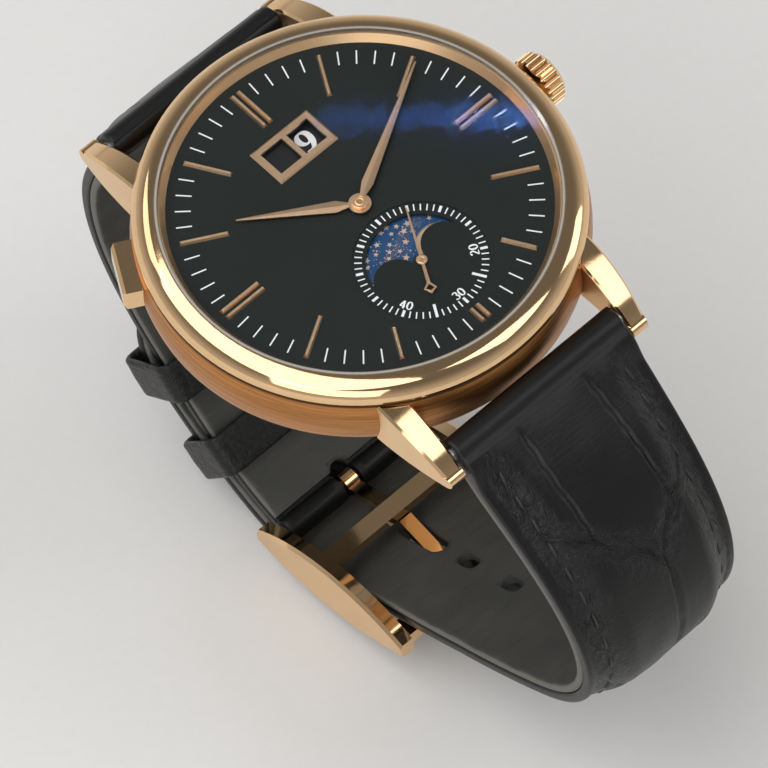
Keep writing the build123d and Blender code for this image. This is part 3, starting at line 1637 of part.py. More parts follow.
slot_share = share_near(long_route, slot_centre)
hole_shares = [slot_share + step * hole_pitch / long_route.length for step in (-2, -1, 1, 2)]


def across_plane(route, share):
    """The plane of a strap's face at a share of its seam, with the strap's width along X."""
    at = route.position_at(share)
    run = route.tangent_at(share)
    return Plane(origin=(0, at.X, at.Y), x_dir=(1, 0, 0), z_dir=(0, -run.Y, run.X))


buckle_plane = Plane(
    origin=(0, *buckle_bar_place),
    x_dir=(0, -cos(radians(buckle_tilt)), sin(radians(buckle_tilt))),
    z_dir=(1, 0, 0),
)

with BuildPart() as short_strap:
    extrude(layer_outline(short_route, 1, 0, 1, nothing, short_outer), amount=strap_width, both=True)
    for place, radius in ((lug_bar_places[0], lug_end_radius), (buckle_bar_place, buckle_end_radius)):
        with BuildSketch(Plane.YZ):
            with Locations(place):
                Circle(radius)
        extrude(amount=strap_width, both=True)
    extrude(taper_outline(), amount=2 * loop_reach, both=True, mode=Mode.INTERSECT)
    for place, radius in ((lug_bar_places[0], bar_radius), (buckle_bar_place, buckle_bar_radius)):
        with BuildSketch(Plane.YZ):
            with Locations(place):
                Circle(radius + running)
        extrude(amount=strap_width, both=True, mode=Mode.SUBTRACT)
    with BuildSketch(buckle_plane):
        Rectangle(notch_length, notch_length)
    extrude(amount=notch_width / 2, both=True, mode=Mode.SUBTRACT)
short_strap.part.label = "short_strap"
export_step(short_strap.part, "parts/short_strap.step")

with BuildPart() as short_strap_lining:
    extrude(
        layer_outline(short_route, 1, short_lining_first, short_lining_last, lining_inner, nothing),
        amount=strap_width,
        both=True,
    )
    extrude(taper_outline(), amount=2 * loop_reach, both=True, mode=Mode.INTERSECT)
    with BuildSketch(buckle_plane):
        Rectangle(notch_length, notch_length)
    extrude(amount=notch_width / 2, both=True, mode=Mode.SUBTRACT)
short_strap_lining.part.label = "short_strap_lining"
export_step(short_strap_lining.part, "parts/short_strap_lining.step")

with BuildPart() as long_strap:
    extrude(layer_outline(long_route, -1, 0, 1, nothing, long_outer), amount=strap_width, both=True)
    with BuildSketch(Plane.YZ):
        with Locations(lug_bar_places[1]):
            Circle(lug_end_radius)
    extrude(amount=strap_width, both=True)
    extrude(taper_outline(), amount=2 * loop_reach, both=True, mode=Mode.INTERSECT)
    with BuildSketch(Plane.YZ):
        with Locations(lug_bar_places[1]):
            Circle(bar_radius + running)
    extrude(amount=strap_width, both=True, mode=Mode.SUBTRACT)
    for share in hole_shares:
        with BuildSketch(across_plane(long_route, share)):
            SlotOverall(hole_length, hole_width, rotation=90)
        extrude(amount=2 * padding_thickness, both=True, mode=Mode.SUBTRACT)
    with BuildSketch(buckle_plane):
        with Locations((slot_middle_along, 0)):
            Rectangle(tang_slot_length, 2 * overrun + padding_thickness)
    extrude(amount=tang_slot_width / 2, both=True, mode=Mode.SUBTRACT)
long_strap.part.label = "long_strap"
export_step(long_strap.part, "parts/long_strap.step")

with BuildPart() as long_strap_lining:
    extrude(
        layer_outline(long_route, -1, long_lining_first, 1, lining_inner, nothing),
        amount=strap_width,
        both=True,
    )
    extrude(taper_outline(), amount=2 * loop_reach, both=True, mode=Mode.INTERSECT)
    for share in hole_shares:
        with BuildSketch(across_plane(long_route, share)):
            SlotOverall(hole_length, hole_width, rotation=90)
        extrude(amount=2 * padding_thickness, both=True, mode=Mode.SUBTRACT)
    with BuildSketch(buckle_plane):
        with Locations((slot_middle_along, 0)):
            Rectangle(tang_slot_length, 2 * overrun + padding_thickness)
    extrude(amount=tang_slot_width / 2, both=True, mode=Mode.SUBTRACT)
long_strap_lining.part.label = "long_strap_lining"
export_step(long_strap_lining.part, "parts/long_strap_lining.step")

# Keepers round both halves of the strap
for keeper_name, share in (("fixed_keeper", fixed_keeper_share), ("free_keeper", free_keeper_share)):
    at = short_route.position_at(share)
    run = short_route.tangent_at(share)
    keeper_plane = Plane(origin=(0, at.X, at.Y), x_dir=(1, 0, 0), z_dir=(0, run.X, run.Y))
    room_out = leather_at(share, 1) + soft_gap + lining_thickness + body_thickness + soft_gap
    room_in = lining_thickness + soft_gap
    room_side = half_width(at.Y + keeper_width / 2) + soft_gap
    with BuildPart() as keeper:
        with BuildSketch(keeper_plane):
            with Locations((0, (room_in - room_out) / 2)):
                RectangleRounded(
                    2 * (room_side + keeper_wall), room_in + room_out + 2 * keeper_wall, keeper_wall
                )
                Rectangle(2 * room_side, room_in + room_out, mode=Mode.SUBTRACT)
        extrude(amount=keeper_width / 2, both=True)
    keeper.part.label = keeper_name
    export_step(keeper.part, f"parts/{keeper_name}.step")

# Buckle: a frame of two bellied rails with a middle and a front bar, its spring bar and its tang
rail_inner = buckle_width / 2 + rail_gap
with BuildPart() as buckle_frame:
    with BuildSketch(buckle_plane.offset(rail_inner)):
        with BuildLine():
            rear = -rail_overhang
            front = buckle_front + rail_overhang
            belly = (rear + front) / 2
            ThreePointArc((rear, rail_end), (belly, rail_belly_out), (front, buckle_front_out + rail_end))
            Line((front, buckle_front_out + rail_end), (front, buckle_front_out - rail_end))
            ThreePointArc((front, buckle_front_out - rail_end), (belly, -rail_belly_in), (rear, -rail_end))
            Line((rear, -rail_end), (rear, rail_end))
        make_face()
    extrude(amount=rail_thickness)
    chamfer(buckle_frame.edges().filter_by(GeomType.CIRCLE).group_by(Axis.X)[-1], length=rail_bevel)
    with BuildSketch(buckle_plane):
        Circle(buckle_bar_tip_radius + running)
    extrude(amount=rail_inner + rail_thickness / 2 + running, mode=Mode.SUBTRACT)
    mirror(about=Plane.YZ)
    with BuildSketch(buckle_plane):
        with Locations((buckle_front, buckle_front_out)):
            Rectangle(front_bar_width, front_bar_height)
        with Locations((buckle_middle, buckle_middle_out)):
            Rectangle(middle_bar_width, middle_bar_height)
    extrude(amount=rail_inner, both=True)
buckle_frame.part.label = "buckle_frame"
export_step(buckle_frame.part, "parts/buckle_frame.step")

with BuildPart() as buckle_spring_bar:
    with BuildSketch(buckle_plane):
        Circle(buckle_bar_radius)
    extrude(amount=rail_inner - running, both=True)
    with BuildSketch(buckle_plane):
        Circle(buckle_bar_tip_radius)
    extrude(amount=rail_inner + rail_thickness / 2, both=True)
buckle_spring_bar.part.label = "buckle_spring_bar"
export_step(buckle_spring_bar.part, "parts/buckle_spring_bar.step")

tang_middle_out = buckle_middle_out + middle_bar_height / 2 + tang_gap + tang_thickness / 2
tang_tip_out = buckle_front_out + front_bar_height / 2 + tang_gap + tang_thickness / 2
with BuildPart() as buckle_tang:
    with BuildSketch(buckle_plane):
        with BuildLine():
            Polyline(
                (buckle_bar_radius + running + tang_sleeve / 2, 0),
                (buckle_middle - middle_bar_width / 2, tang_middle_out),
                (buckle_middle + middle_bar_width / 2, tang_middle_out),
                (buckle_front - front_bar_width / 2 - tang_gap, tang_tip_out),
                (buckle_front + tang_tip, tang_tip_out),
            )
        trace(line_width=tang_thickness)
        Circle(buckle_bar_radius + running + tang_sleeve)
        Circle(buckle_bar_radius + running, mode=Mode.SUBTRACT)
    extrude(amount=tang_width / 2, both=True)
buckle_tang.part.label = "buckle_tang"
export_step(buckle_tang.part, "parts/buckle_tang.step")

print("strap lengths", round(short_route.length, 1), round(long_route.length, 1))
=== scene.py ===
"""Red gold dress watch with a moon display and a black scale leather strap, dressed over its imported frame."""

import math

import bpy
import numpy as np
from mathutils import Matrix


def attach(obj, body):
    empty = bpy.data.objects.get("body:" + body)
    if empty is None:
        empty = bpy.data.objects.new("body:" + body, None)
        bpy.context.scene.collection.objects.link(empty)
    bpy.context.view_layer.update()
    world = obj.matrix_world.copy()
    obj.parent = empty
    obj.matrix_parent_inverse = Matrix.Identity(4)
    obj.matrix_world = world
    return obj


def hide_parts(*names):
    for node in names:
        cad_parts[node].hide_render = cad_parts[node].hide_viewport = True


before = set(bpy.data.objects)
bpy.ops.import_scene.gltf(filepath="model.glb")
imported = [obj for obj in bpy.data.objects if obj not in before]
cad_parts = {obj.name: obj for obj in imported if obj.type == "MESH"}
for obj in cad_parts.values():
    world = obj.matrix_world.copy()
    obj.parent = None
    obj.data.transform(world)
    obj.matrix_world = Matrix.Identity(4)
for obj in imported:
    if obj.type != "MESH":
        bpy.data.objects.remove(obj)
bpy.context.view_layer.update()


# Case waist: a turned ring of red gold. Its side is brushed in fine lines that run round the case,
# and the bevel at its foot is polished. Its gold is painted darker than the bezel's, a painted dark
# reflection, and its top, where it goes in under the bezel, is painted dark brown as painted shade.
WAIST_FOOT = (1.85, 1.95)
WAIST_HEAD = (6.98, 7.05)
# Heights over which the waist's top is painted in shade under the bezel.
BEZEL_SHADE = (6.7, 6.95)
# The brushed side's gold, painted darker than the bezel's as a painted dark reflection of the surroundings.
WAIST_SHADED_DARK = (0.33, 0.135, 0.038)
WAIST_SHADED_LIGHT = (0.60, 0.275, 0.09)
GOLD_DEEP = (0.83, 0.54, 0.28)
GOLD = (0.90, 0.62, 0.36)


class Wire:
    """A socket on its way through a finish. Arithmetic on wires adds the Math nodes it needs."""

    def __init__(self, tree, socket=None):
        self.tree = tree
        self.socket = socket

    def node(self, kind, settings, sockets, out=0):
        """Adds a node: its settings first, then the values or wires of its sockets, and gives its output."""
        made = self.tree.nodes.new(kind)
        for name, value in settings.items():
            setattr(made, name, value)
        for name, value in sockets.items():
            if isinstance(value, Wire):
                self.tree.links.new(value.socket, made.inputs[name])
            else:
                made.inputs[name].default_value = value
        if isinstance(out, tuple):
            return [Wire(self.tree, made.outputs[name]) for name in out]
        return None if out is None else Wire(self.tree, made.outputs[out])

    def maths(self, operation, *values):
        """A Math node on numbers and wires."""
        return self.node("ShaderNodeMath", {"operation": operation}, dict(enumerate(values)))

    def __add__(self, other):
        return self.maths("ADD", self, other)

    __radd__ = __add__

    def __sub__(self, other):
        return self.maths("SUBTRACT", self, other)

    def __rsub__(self, other):
        return self.maths("SUBTRACT", other, self)

    def __mul__(self, other):
        return self.maths("MULTIPLY", self, other)

    __rmul__ = __mul__

    def __truediv__(self, other):
        return self.maths("DIVIDE", self, other)

    def __pow__(self, other):
        return self.maths("POWER", self, other)

    def __abs__(self):
        return self.maths("ABSOLUTE", self)

    def between(self, low, high):
        """0 below low and 1 above high, with an eased step between them."""
        limits = {"Value": self, "From Min": low, "From Max": high}
        return self.node("ShaderNodeMapRange", {"interpolation_type": "SMOOTHSTEP"}, limits)

    def shade(self, dark, light):
        """A colour from dark at 0 to light at 1; either may be a wire."""
        dark, light = (colour if isinstance(colour, Wire) else (*colour, 1) for colour in (dark, light))
        return self.node("ShaderNodeMix", {"data_type": "RGBA"}, {0: self, 6: dark, 7: light}, 2)

    def stretched(self, x, y, z):
        """A place with each of its directions scaled."""
        return self.node("ShaderNodeVectorMath", {"operation": "MULTIPLY"}, {0: self, 1: (x, y, z)})

    def joined(self, x, y, z):
        """A place from its three numbers, any of them a wire."""
        return self.node("ShaderNodeCombineXYZ", {}, {0: x, 1: y, 2: z})

    def axes(self):
        """The three numbers of a place."""
        return self.node("ShaderNodeSeparateXYZ", {}, {"Vector": self}, (0, 1, 2))

    def kept(self, name):
        """The three numbers that a piece keeps for every vertex under a name."""
        return self.node("ShaderNodeAttribute", {"attribute_name": name}, {}, "Vector")

    def noise(self, scale, detail=2.0, rough=0.5):
        """Soft noise from 0 to 1 at this place."""
        sockets = {"Vector": self, "Scale": scale, "Detail": detail, "Roughness": rough}
        return self.node("ShaderNodeTexNoise", {}, sockets)

    def cells(self, scale, feature="F1", random=1.0):
        """Distance to the cells of a scattered pattern at this place."""
        sockets = {"Vector": self, "Scale": scale, "Randomness": random}
        return self.node("ShaderNodeTexVoronoi", {"feature": feature}, sockets)


def begin_finish(name):
    """A new empty finish, and the place on the piece in millimetres."""
    finish = bpy.data.materials.new(name)
    finish.use_nodes = True
    finish.node_tree.nodes.clear()
    place = Wire(finish.node_tree).node("ShaderNodeTexCoord", {}, {}, "Object")
    return finish, place.stretched(1000, 1000, 1000)


def cover(shader):
    """Puts a shader on the surface."""
    shader.node("ShaderNodeOutputMaterial", {}, {"Surface": shader}, None)


def end_finish(place, colour, roughness, relief, **more):
    """Closes a finish with its shader; relief is how far the surface stands up, in millimetres.

    Its other sockets are named with _ for each space."""
    sockets = {name.replace("_", " "): value for name, value in more.items()}
    sockets["Base Color"], sockets["Roughness"] = colour, roughness
    sockets["Normal"] = place.node("ShaderNodeBump", {}, {"Height": relief, "Distance": 0.001})
    cover(place.node("ShaderNodeBsdfPrincipled", {}, sockets))


def dress(finish, *names):
    """Gives parts of the frame a finish."""
    for name in names:
        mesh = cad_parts[name].data
        mesh.materials.clear()
        mesh.materials.append(finish)


def turned(place, centre=(0, 0)):
    """Round an upright axis: radius, height, x over radius and y over radius."""
    x, y, z = place.axes()
    x, y = x - centre[0], y - centre[1]
    radius = (x * x + y * y) ** 0.5 + 0.0001
    return radius, z, x / radius, y / radius


def lathe_lines(place, centre=(0, 0), fine=7.0):
    """Fine lines of a tool that ran round an upright axis: noise in radius and height, slow in direction."""
    radius, height, right, up = turned(place, centre)
    spot = place.joined(right * 2, up * 2, height * fine)
    lines = {"Vector": spot, "W": radius * fine, "Scale": 1.0, "Detail": 4.0, "Roughness": 0.65}
    return place.node("ShaderNodeTexNoise", {"noise_dimensions": "4D"}, lines)


def gold_colour(place, painted_light_scale=1.0):
    """Red gold with the faint clouding that handling leaves on it; a scale above one paints it lighter, as
    painted light.
    """
    return place.noise(0.35).shade([c * painted_light_scale for c in GOLD_DEEP], [c * painted_light_scale for c in GOLD])


brushed_gold, place = begin_finish("brushed_gold")
lines = lathe_lines(place, fine=3.2)
height = place.axes()[2]
waist = height.between(*WAIST_FOOT) * (1 - height.between(*WAIST_HEAD))
shaded = height.between(*BEZEL_SHADE)
# Painted dark reflection: the brushed lines run between the two darkened golds.
tint = lines.between(0.3, 0.7).shade(WAIST_SHADED_DARK, WAIST_SHADED_LIGHT)
end_finish(
    place,
    # Painted shade: towards the top, the waist's colour is mixed to dark brown where the bezel overhangs it.
    (shaded * 0.9).shade(tint, (0.05, 0.03, 0.015)),
    0.12 + waist * (0.17 + lines * 0.18) + shaded * 0.3,
    lines * waist * 0.009,
    Metallic=1.0,
)
dress(brushed_gold, "case_middle")


# Polished gold: the bezel, pusher and buckle, buffed to a mirror after turning or milling;
# handling has left faint hairlines and clouding.
def polished(name, rough=0.05):
    """A mirror finish whose gloss is broken by hairlines and faint waves."""
    finish, place = begin_finish(name)
    hair = place.stretched(1, 6, 3).noise(5.0, 5.0, 0.7).between(0.55, 0.85)
    haze = place.noise(0.9, 3.0)
    relief = place.noise(1.3) * 0.002 + hair * 0.0004
    end_finish(place, gold_colour(place), rough + haze * 0.04 + hair * 0.05, relief, Metallic=1.0)
    return finish


dress(polished("polished_gold"), "bezel", "buckle_frame", "buckle_tang", "date_pusher")


# Lugs: four milled horns of red gold soldered to the waist. Tops, bevels and noses are polished,
# and the flat sides are drawn lengthwise on a stone.
LUG_MIDDLE = 11.35
LUG_SIDE = (1.2, 1.24)

lug_gold, place = begin_finish("lug_gold")
side = abs(abs(place.axes()[0]) - LUG_MIDDLE).between(*LUG_SIDE)
drawn = place.stretched(9, 0.35, 14).noise(1.0, 4.0, 0.65)
end_finish(
    place,
    gold_colour(place),
    0.07 + place.noise(0.9, 3.0) * 0.05 + side * (0.21 + drawn * 0.12),
    place.noise(1.3) * 0.003 + side * drawn * 0.005,
    Metallic=1.0,
)
dress(lug_gold, "lugs")


# Case back: a turned ring that holds the lower glass, screwed on from below. Its flat face is grained
# in circles and its chamfer is polished.
BACK_FACE_HEIGHT = (0.02, 0.06)
BACK_FACE_RIM = (18.5, 18.6)

back_gold, place = begin_finish("back_gold")
radius, height = turned(place)[:2]
lines = lathe_lines(place)
face = (1 - height.between(*BACK_FACE_HEIGHT)) * (1 - radius.between(*BACK_FACE_RIM))
end_finish(place, gold_colour(place), 0.08 + face * (0.2 + lines * 0.16), lines * face * 0.006, Metallic=1.0)
dress(back_gold, "case_back_ring")


# Crystals: two polished sapphire discs. The upper one has a thin coating that leaves a deep blue
# reflection. Each is pressed into a pale nylon ring, and the case back has a rubber seal.
def clear_glass(name, facing_colour, coating):
    """Clear glass with a thin reflecting sheet: a coloured one seen straight on, a pale one aslant."""
    finish, place = begin_finish(name)
    smear = place.noise(0.25, 3.0, 0.6)
    clear = place.node("ShaderNodeBsdfTransparent", {}, {"Color": (0.985, 0.99, 1.0, 1)})
    aslant = place.node("ShaderNodeLayerWeight", {}, {"Blend": 0.5}, "Facing")
    tint = aslant.between(0.15, 0.6).shade(facing_colour, (0.80, 0.84, 0.90))
    mirror = {"Base Color": tint, "Metallic": 1.0, "Roughness": 0.025}
    shine = place.node("ShaderNodeBsdfPrincipled", {}, mirror)
    gloss = (aslant**5 * 0.966 + 0.034) * (coating + smear * 0.03)
    cover(place.node("ShaderNodeMixShader", {}, {0: gloss, 1: clear, 2: shine}))
    return finish


dress(clear_glass("sapphire", (0.08, 0.28, 0.95), 0.085), "crystal")
dress(clear_glass("plain_sapphire", (0.70, 0.76, 0.90), 0.30), "back_glass")

gasket, place = begin_finish("gasket")
tint = place.noise(3.0).shade((0.012, 0.012, 0.013), (0.028, 0.028, 0.03))
end_finish(place, tint, 0.5 + place.noise(8.0) * 0.25, place.noise(14.0, 3.0) * 0.008)
dress(gasket, "case_back_seal")

NYLON_BAND_INSIDE = (17.66, 17.74)
NYLON_BAND_OUTSIDE = (17.86, 17.94)

nylon, place = begin_finish("nylon")
radius = turned(place)[0]
band = radius.between(*NYLON_BAND_INSIDE) * (1 - radius.between(*NYLON_BAND_OUTSIDE))
tint = (band * 0.8 + place.noise(5.0) * 0.2).shade((0.10, 0.08, 0.06), (0.46, 0.40, 0.33))
end_finish(place, tint, 0.35 + place.noise(8.0) * 0.1, band * 0.02, Coat_Weight=0.3)
dress(nylon, "crystal_seal", "back_glass_seal")


# Movement plates: nickel plated brass. The bridges carry broad polished ribs. The mainplate and
# the ring round it carry pearls ground with a peg.
NICKEL_DARK = (0.46, 0.44, 0.40)
NICKEL = (0.66, 0.63, 0.57)
RIB_PITCH = 1.9
RIB_RIGHT, RIB_UP = 0.82, 0.57

ribbed_nickel, place = begin_finish("ribbed_nickel")
x, y, z = place.axes()
across = (x * RIB_RIGHT + y * RIB_UP) / RIB_PITCH
rib = place.maths("FRACT", across)
crest = abs(rib - 0.5)
streak = place.joined(across * 9, (y * RIB_RIGHT - x * RIB_UP) * 0.4, z).noise(1.0, 5.0, 0.7)
# Painted sheen: each rib is painted lighter across its width from one flank to the other; the streaks are its
# grain.
tint = (rib * 0.6 + streak * 0.4).shade(NICKEL_DARK, NICKEL)
end_finish(place, tint, 0.28 + streak * 0.12, crest * -0.05 + streak * 0.006, Metallic=1.0)
dress(ribbed_nickel, "train_bridge", "balance_cock", "fork_bridge")

pearled_nickel, place = begin_finish("pearled_nickel")
pearl = place.stretched(1, 1, 0).cells(1.25, random=0.0)
# Painted sheen: each pearl is painted darker in its middle and lighter to its rim; the noise is random tone.
tint = (pearl * 0.8 + place.noise(6.0) * 0.25).shade(NICKEL_DARK, NICKEL)
rings = place.maths("SINE", pearl * 70)
end_finish(place, tint, 0.28 + pearl * 0.2, rings * 0.0012 + pearl * 0.01, Metallic=1.0)
dress(pearled_nickel, "mainplate", "movement_ring")


# Wheels: gilt brass blanks with cut teeth, each pressed on an arbor of its own. They are grained in
# circles round it.
BRASS_DARK = (0.56, 0.37, 0.12)
BRASS = (0.82, 0.60, 0.26)
MOON_POST = (0, -7.86)
BARREL_POST = (5.505, 3.204)


def grained(name, dark, light, centre, fine):
    """A metal finish with fine circles round one arbor."""
    finish, place = begin_finish(name)
    lines = lathe_lines(place, centre, fine)
    end_finish(place, lines.shade(dark, light), 0.28 + lines * 0.12, lines * 0.004, Metallic=1.0)
    return finish


for wheel, post in {
    "centre_wheel": (0, 0),
    "third_wheel": (-2.957, -4.518),
    "fourth_wheel": MOON_POST,
    "balance_wheel": (8.033, -7.296),
    "barrel": BARREL_POST,
    "minute_wheel": (-2.752, -1.927),
    "hour_wheel": (0, 0),
    "cannon_pinion": (0, 0),
}.items():
    dress(grained("gilt_" + wheel, BRASS_DARK, BRASS, post, 9.0), wheel)


# Steel parts: hardened steel, ground and then drawn on fine paper. The winding wheels are
# snailed round their arbors, and the hairspring and screws are tempered blue.
STEEL_DARK = (0.36, 0.37, 0.39)
STEEL = (0.60, 0.61, 0.63)

for wheel, post in {
    "ratchet_wheel": BARREL_POST,
    "crown_wheel": (9.981, 0),
    "escape_wheel": (3.048, -9.62),
    "rotor_bearing": (0, 0),
}.items():
    dress(grained("steel_" + wheel, STEEL_DARK, STEEL, post, 12.0), wheel)

drawn_steel, place = begin_finish("drawn_steel")
drawn = place.stretched(3, 9, 9).noise(2.0, 4.0, 0.65)
end_finish(place, drawn.shade(STEEL_DARK, STEEL), 0.28 + drawn * 0.12, drawn * 0.003, Metallic=1.0)
dress(drawn_steel, "winding_pinion", "crown_stem", "crown_tube", "pallet_fork")
dress(drawn_steel, "pusher_spring", "pusher_bush", "lug_spring_bars", "buckle_spring_bar")

tempered_steel, place = begin_finish("tempered_steel")
cloud = place.noise(1.4, 3.0)
tint = cloud.shade((0.03, 0.06, 0.26), (0.07, 0.13, 0.42))
end_finish(place, tint, 0.14 + cloud * 0.1, place.stretched(12, 2, 2).noise(1.0, 3.0) * 0.002, Metallic=1.0)
dress(tempered_steel, "hairspring", "bridge_screws", "case_screws")


# Jewels: synthetic rubies in which pivots turn. They are clear red, bored and polished, and pressed
# into the bridges.
ruby, place = begin_finish("ruby")
depth = place.noise(1.6)
tint = depth.shade((0.36, 0.008, 0.05), (0.62, 0.03, 0.12))
end_finish(place, tint, 0.06 + depth * 0.05, place.noise(3.0) * 0.002, IOR=1.76, Coat_Weight=0.6)
dress(ruby, "jewels")


# Rotor: a gilt half disc with a heavy rim that winds the mainspring as it swings. It is grained in
# circles and turns on a bearing in the middle of the movement.
ROTOR_RIM = (11.35, 11.45)

rotor_gold, place = begin_finish("rotor_gold")
lines = lathe_lines(place, fine=10.0)
rim = turned(place)[0].between(*ROTOR_RIM)
tint = (lines * 0.5 + rim * 0.5).shade((0.60, 0.37, 0.17), (0.86, 0.58, 0.32))
end_finish(place, tint, 0.28 + lines * (0.14 - rim * 0.06), lines * 0.005, Metallic=1.0)
dress(rotor_gold, "rotor")


# Dial: a silver disc blackened to a satin, with a turned subdial at six o'clock that is cut
# in fine circles, and a window for the moon.
SUBDIAL_RIM = (6.04, 6.08)
SUBDIAL_HEIGHT = (7.84, 7.88)

dial_black, place = begin_finish("dial_black")
radius, height = turned(place, MOON_POST)[:2]
inside = (1 - radius.between(*SUBDIAL_RIM)) * (1 - height.between(*SUBDIAL_HEIGHT))
groove = place.maths("SINE", radius * 38)
satin = place.noise(11.0, 3.0, 0.6)
end_finish(
    place,
    (place.noise(0.12) * 0.7 + satin * 0.3).shade((0.012, 0.015, 0.0125), (0.0185, 0.0225, 0.0185)),
    0.38 + satin * 0.06 - inside * 0.05,
    satin * 0.0003 + inside * groove * 0.0012,
    Specular_IOR_Level=0.25,
)
dress(dial_black, "dial")


# Dial printing: the minute and seconds tracks and the small seconds figures, pad printed in white
# enamel that stands a hair above the dial.
DIAL_TOP = 7.9
SUBDIAL_FLOOR = 7.82
PRINT_HIGH = 0.016
MINUTE_TRACK = (14.75, 16.15)
SECONDS_TRACK = (5.22, 5.88)
LONG_MARK_START = 4.55
FIGURE_REACH = 4.66
FIGURE_SIZE = 0.84
FIGURE_PITCH = 0.72
FIGURE_MIDDLE = 0.31


def made_object(name, shape, finish, smooth=False):
    """An object from a shape, which is vertices in millimetres and faces."""
    vertices, faces = shape
    mesh = bpy.data.meshes.new(name)
    mesh.from_pydata((np.asarray(vertices, float) / 1000).tolist(), [], [list(face) for face in faces])
    mesh.update()
    mesh.polygons.foreach_set("use_smooth", [smooth] * len(mesh.polygons))
    mesh.materials.append(finish)
    made = bpy.data.objects.new(name, mesh)
    bpy.context.scene.collection.objects.link(made)
    return made


def add_piece(name, shape, finish, body="case", smooth=False):
    """A piece of the watch: it rides on a body of the frame and takes its finish from a material slot."""
    piece = made_object(name, shape, finish, smooth)
    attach(piece, body)
    return piece


def wall(corners):
    """Faces between two rings of corners, of which the second is counted on after the first."""
    ring = np.arange(corners)
    after = (ring + 1) % corners
    return np.stack([ring, after, after + corners, ring + corners], 1)


def prisms(outlines, low, thick):
    """Upright prisms on a height. outlines is prisms by corners by 2, each counterclockwise."""
    count, corners = outlines.shape[:2]
    ends = [np.concatenate([outlines, np.full((count, corners, 1), at)], 2) for at in (low, low + thick)]
    start = 2 * corners * np.arange(count)[:, None]
    ring = np.arange(corners)
    walls = (start[:, :, None] + wall(corners)[None]).reshape(-1, 4)
    lids = np.concatenate([start + ring[::-1], start + ring + corners])
    return np.stack(ends, 1).reshape(-1, 3), walls.tolist() + lids.tolist()


def bars(clock, inner, outer, width, centre=(0, 0)):
    """Outlines of radial bars: for each clock angle in degrees, a rectangle between two radii."""
    clock, inner, outer, width = np.broadcast_arrays(clock, inner, outer, width)
    turn = np.radians(90 - clock)[:, None]
    along = np.stack([inner, outer, outer, inner], 1)
    aside = np.stack([-width, -width, width, width], 1) / 2
    x = centre[0] + along * np.cos(turn) - aside * np.sin(turn)
    y = centre[1] + along * np.sin(turn) + aside * np.cos(turn)
    return np.stack([x, y], 2)


def arc(cx, cy, rx, ry, start, end, count=25):
    """Places on an ellipse between two angles in degrees."""
    turn = np.radians(np.linspace(start, end, count))
    return np.stack([cx + rx * np.cos(turn), cy + ry * np.sin(turn)], 1)


# The pen lines of each figure stand in a box 0.62 wide and 1 high.
FIGURES = {
    "0": [arc(0.31, 0.5, 0.25, 0.45, 90, 270), arc(0.31, 0.5, 0.25, 0.45, -90, 90)],
    "1": [
        [(0.34, 0.97), (0.34, 0.5), (0.34, 0.03)],
        [(0.13, 0.78), (0.25, 0.84), (0.34, 0.95)],
        [(0.14, 0.04), (0.34, 0.04), (0.54, 0.04)],
    ],
    "2": [
        np.concatenate([arc(0.30, 0.70, 0.23, 0.25, 160, -20), [(0.36, 0.40), (0.08, 0.06)]]),
        [(0.06, 0.06), (0.30, 0.06), (0.57, 0.06)],
    ],
    "3": [arc(0.29, 0.74, 0.21, 0.21, 155, -80), arc(0.29, 0.29, 0.25, 0.25, 80, -155)],
    "4": [
        [(0.42, 0.96), (0.42, 0.5), (0.42, 0.03)],
        [(0.42, 0.94), (0.22, 0.62), (0.05, 0.30)],
        [(0.04, 0.29), (0.30, 0.29), (0.60, 0.29)],
    ],
    "5": [
        [(0.13, 0.94), (0.32, 0.94), (0.52, 0.94)],
        [(0.14, 0.94), (0.13, 0.75), (0.12, 0.55)],
        arc(0.28, 0.33, 0.25, 0.28, 125, -150),
    ],
    "6": [arc(0.31, 0.31, 0.24, 0.27, 0, 360, 41), arc(0.62, 0.36, 0.55, 0.60, 100, 182)],
    "7": [[(0.07, 0.93), (0.30, 0.93), (0.56, 0.93)], [(0.55, 0.92), (0.38, 0.55), (0.25, 0.03)]],
    "8": [arc(0.31, 0.73, 0.19, 0.22, 0, 360, 41), arc(0.31, 0.28, 0.25, 0.26, 0, 360, 41)],
    "9": [
        arc(0.31, 0.69, 0.24, 0.27, 0, 360, 41),
        arc(0.06, 0.62, 0.49, 0.58, -74, 4),
        [(0.15, 0.03), (0.15, 0.10), (0.15, 0.17)],
    ],
}


def stroke(line, thin, thick):
    """Outline of a pen stroke along a line: wide where it runs upright and thin where it runs level."""
    line = np.asarray(line, float)
    run = np.gradient(line, axis=0)
    run /= np.linalg.norm(run, axis=1)[:, None]
    half = (thin + (thick - thin) * np.abs(run[:, 1]) ** 1.6)[:, None] / 2
    normal = np.stack([-run[:, 1], run[:, 0]], 1)
    return np.concatenate([line - normal * half, (line + normal * half)[::-1]])


def gathered(*shapes):
    """Several shapes as one: their vertices in a row and their faces counted on."""
    vertices, faces, start = [], [], 0
    for shape_vertices, shape_faces in shapes:
        vertices.append(shape_vertices)
        faces += [[corner + start for corner in face] for face in shape_faces]
        start += len(shape_vertices)
    return np.concatenate(vertices), faces


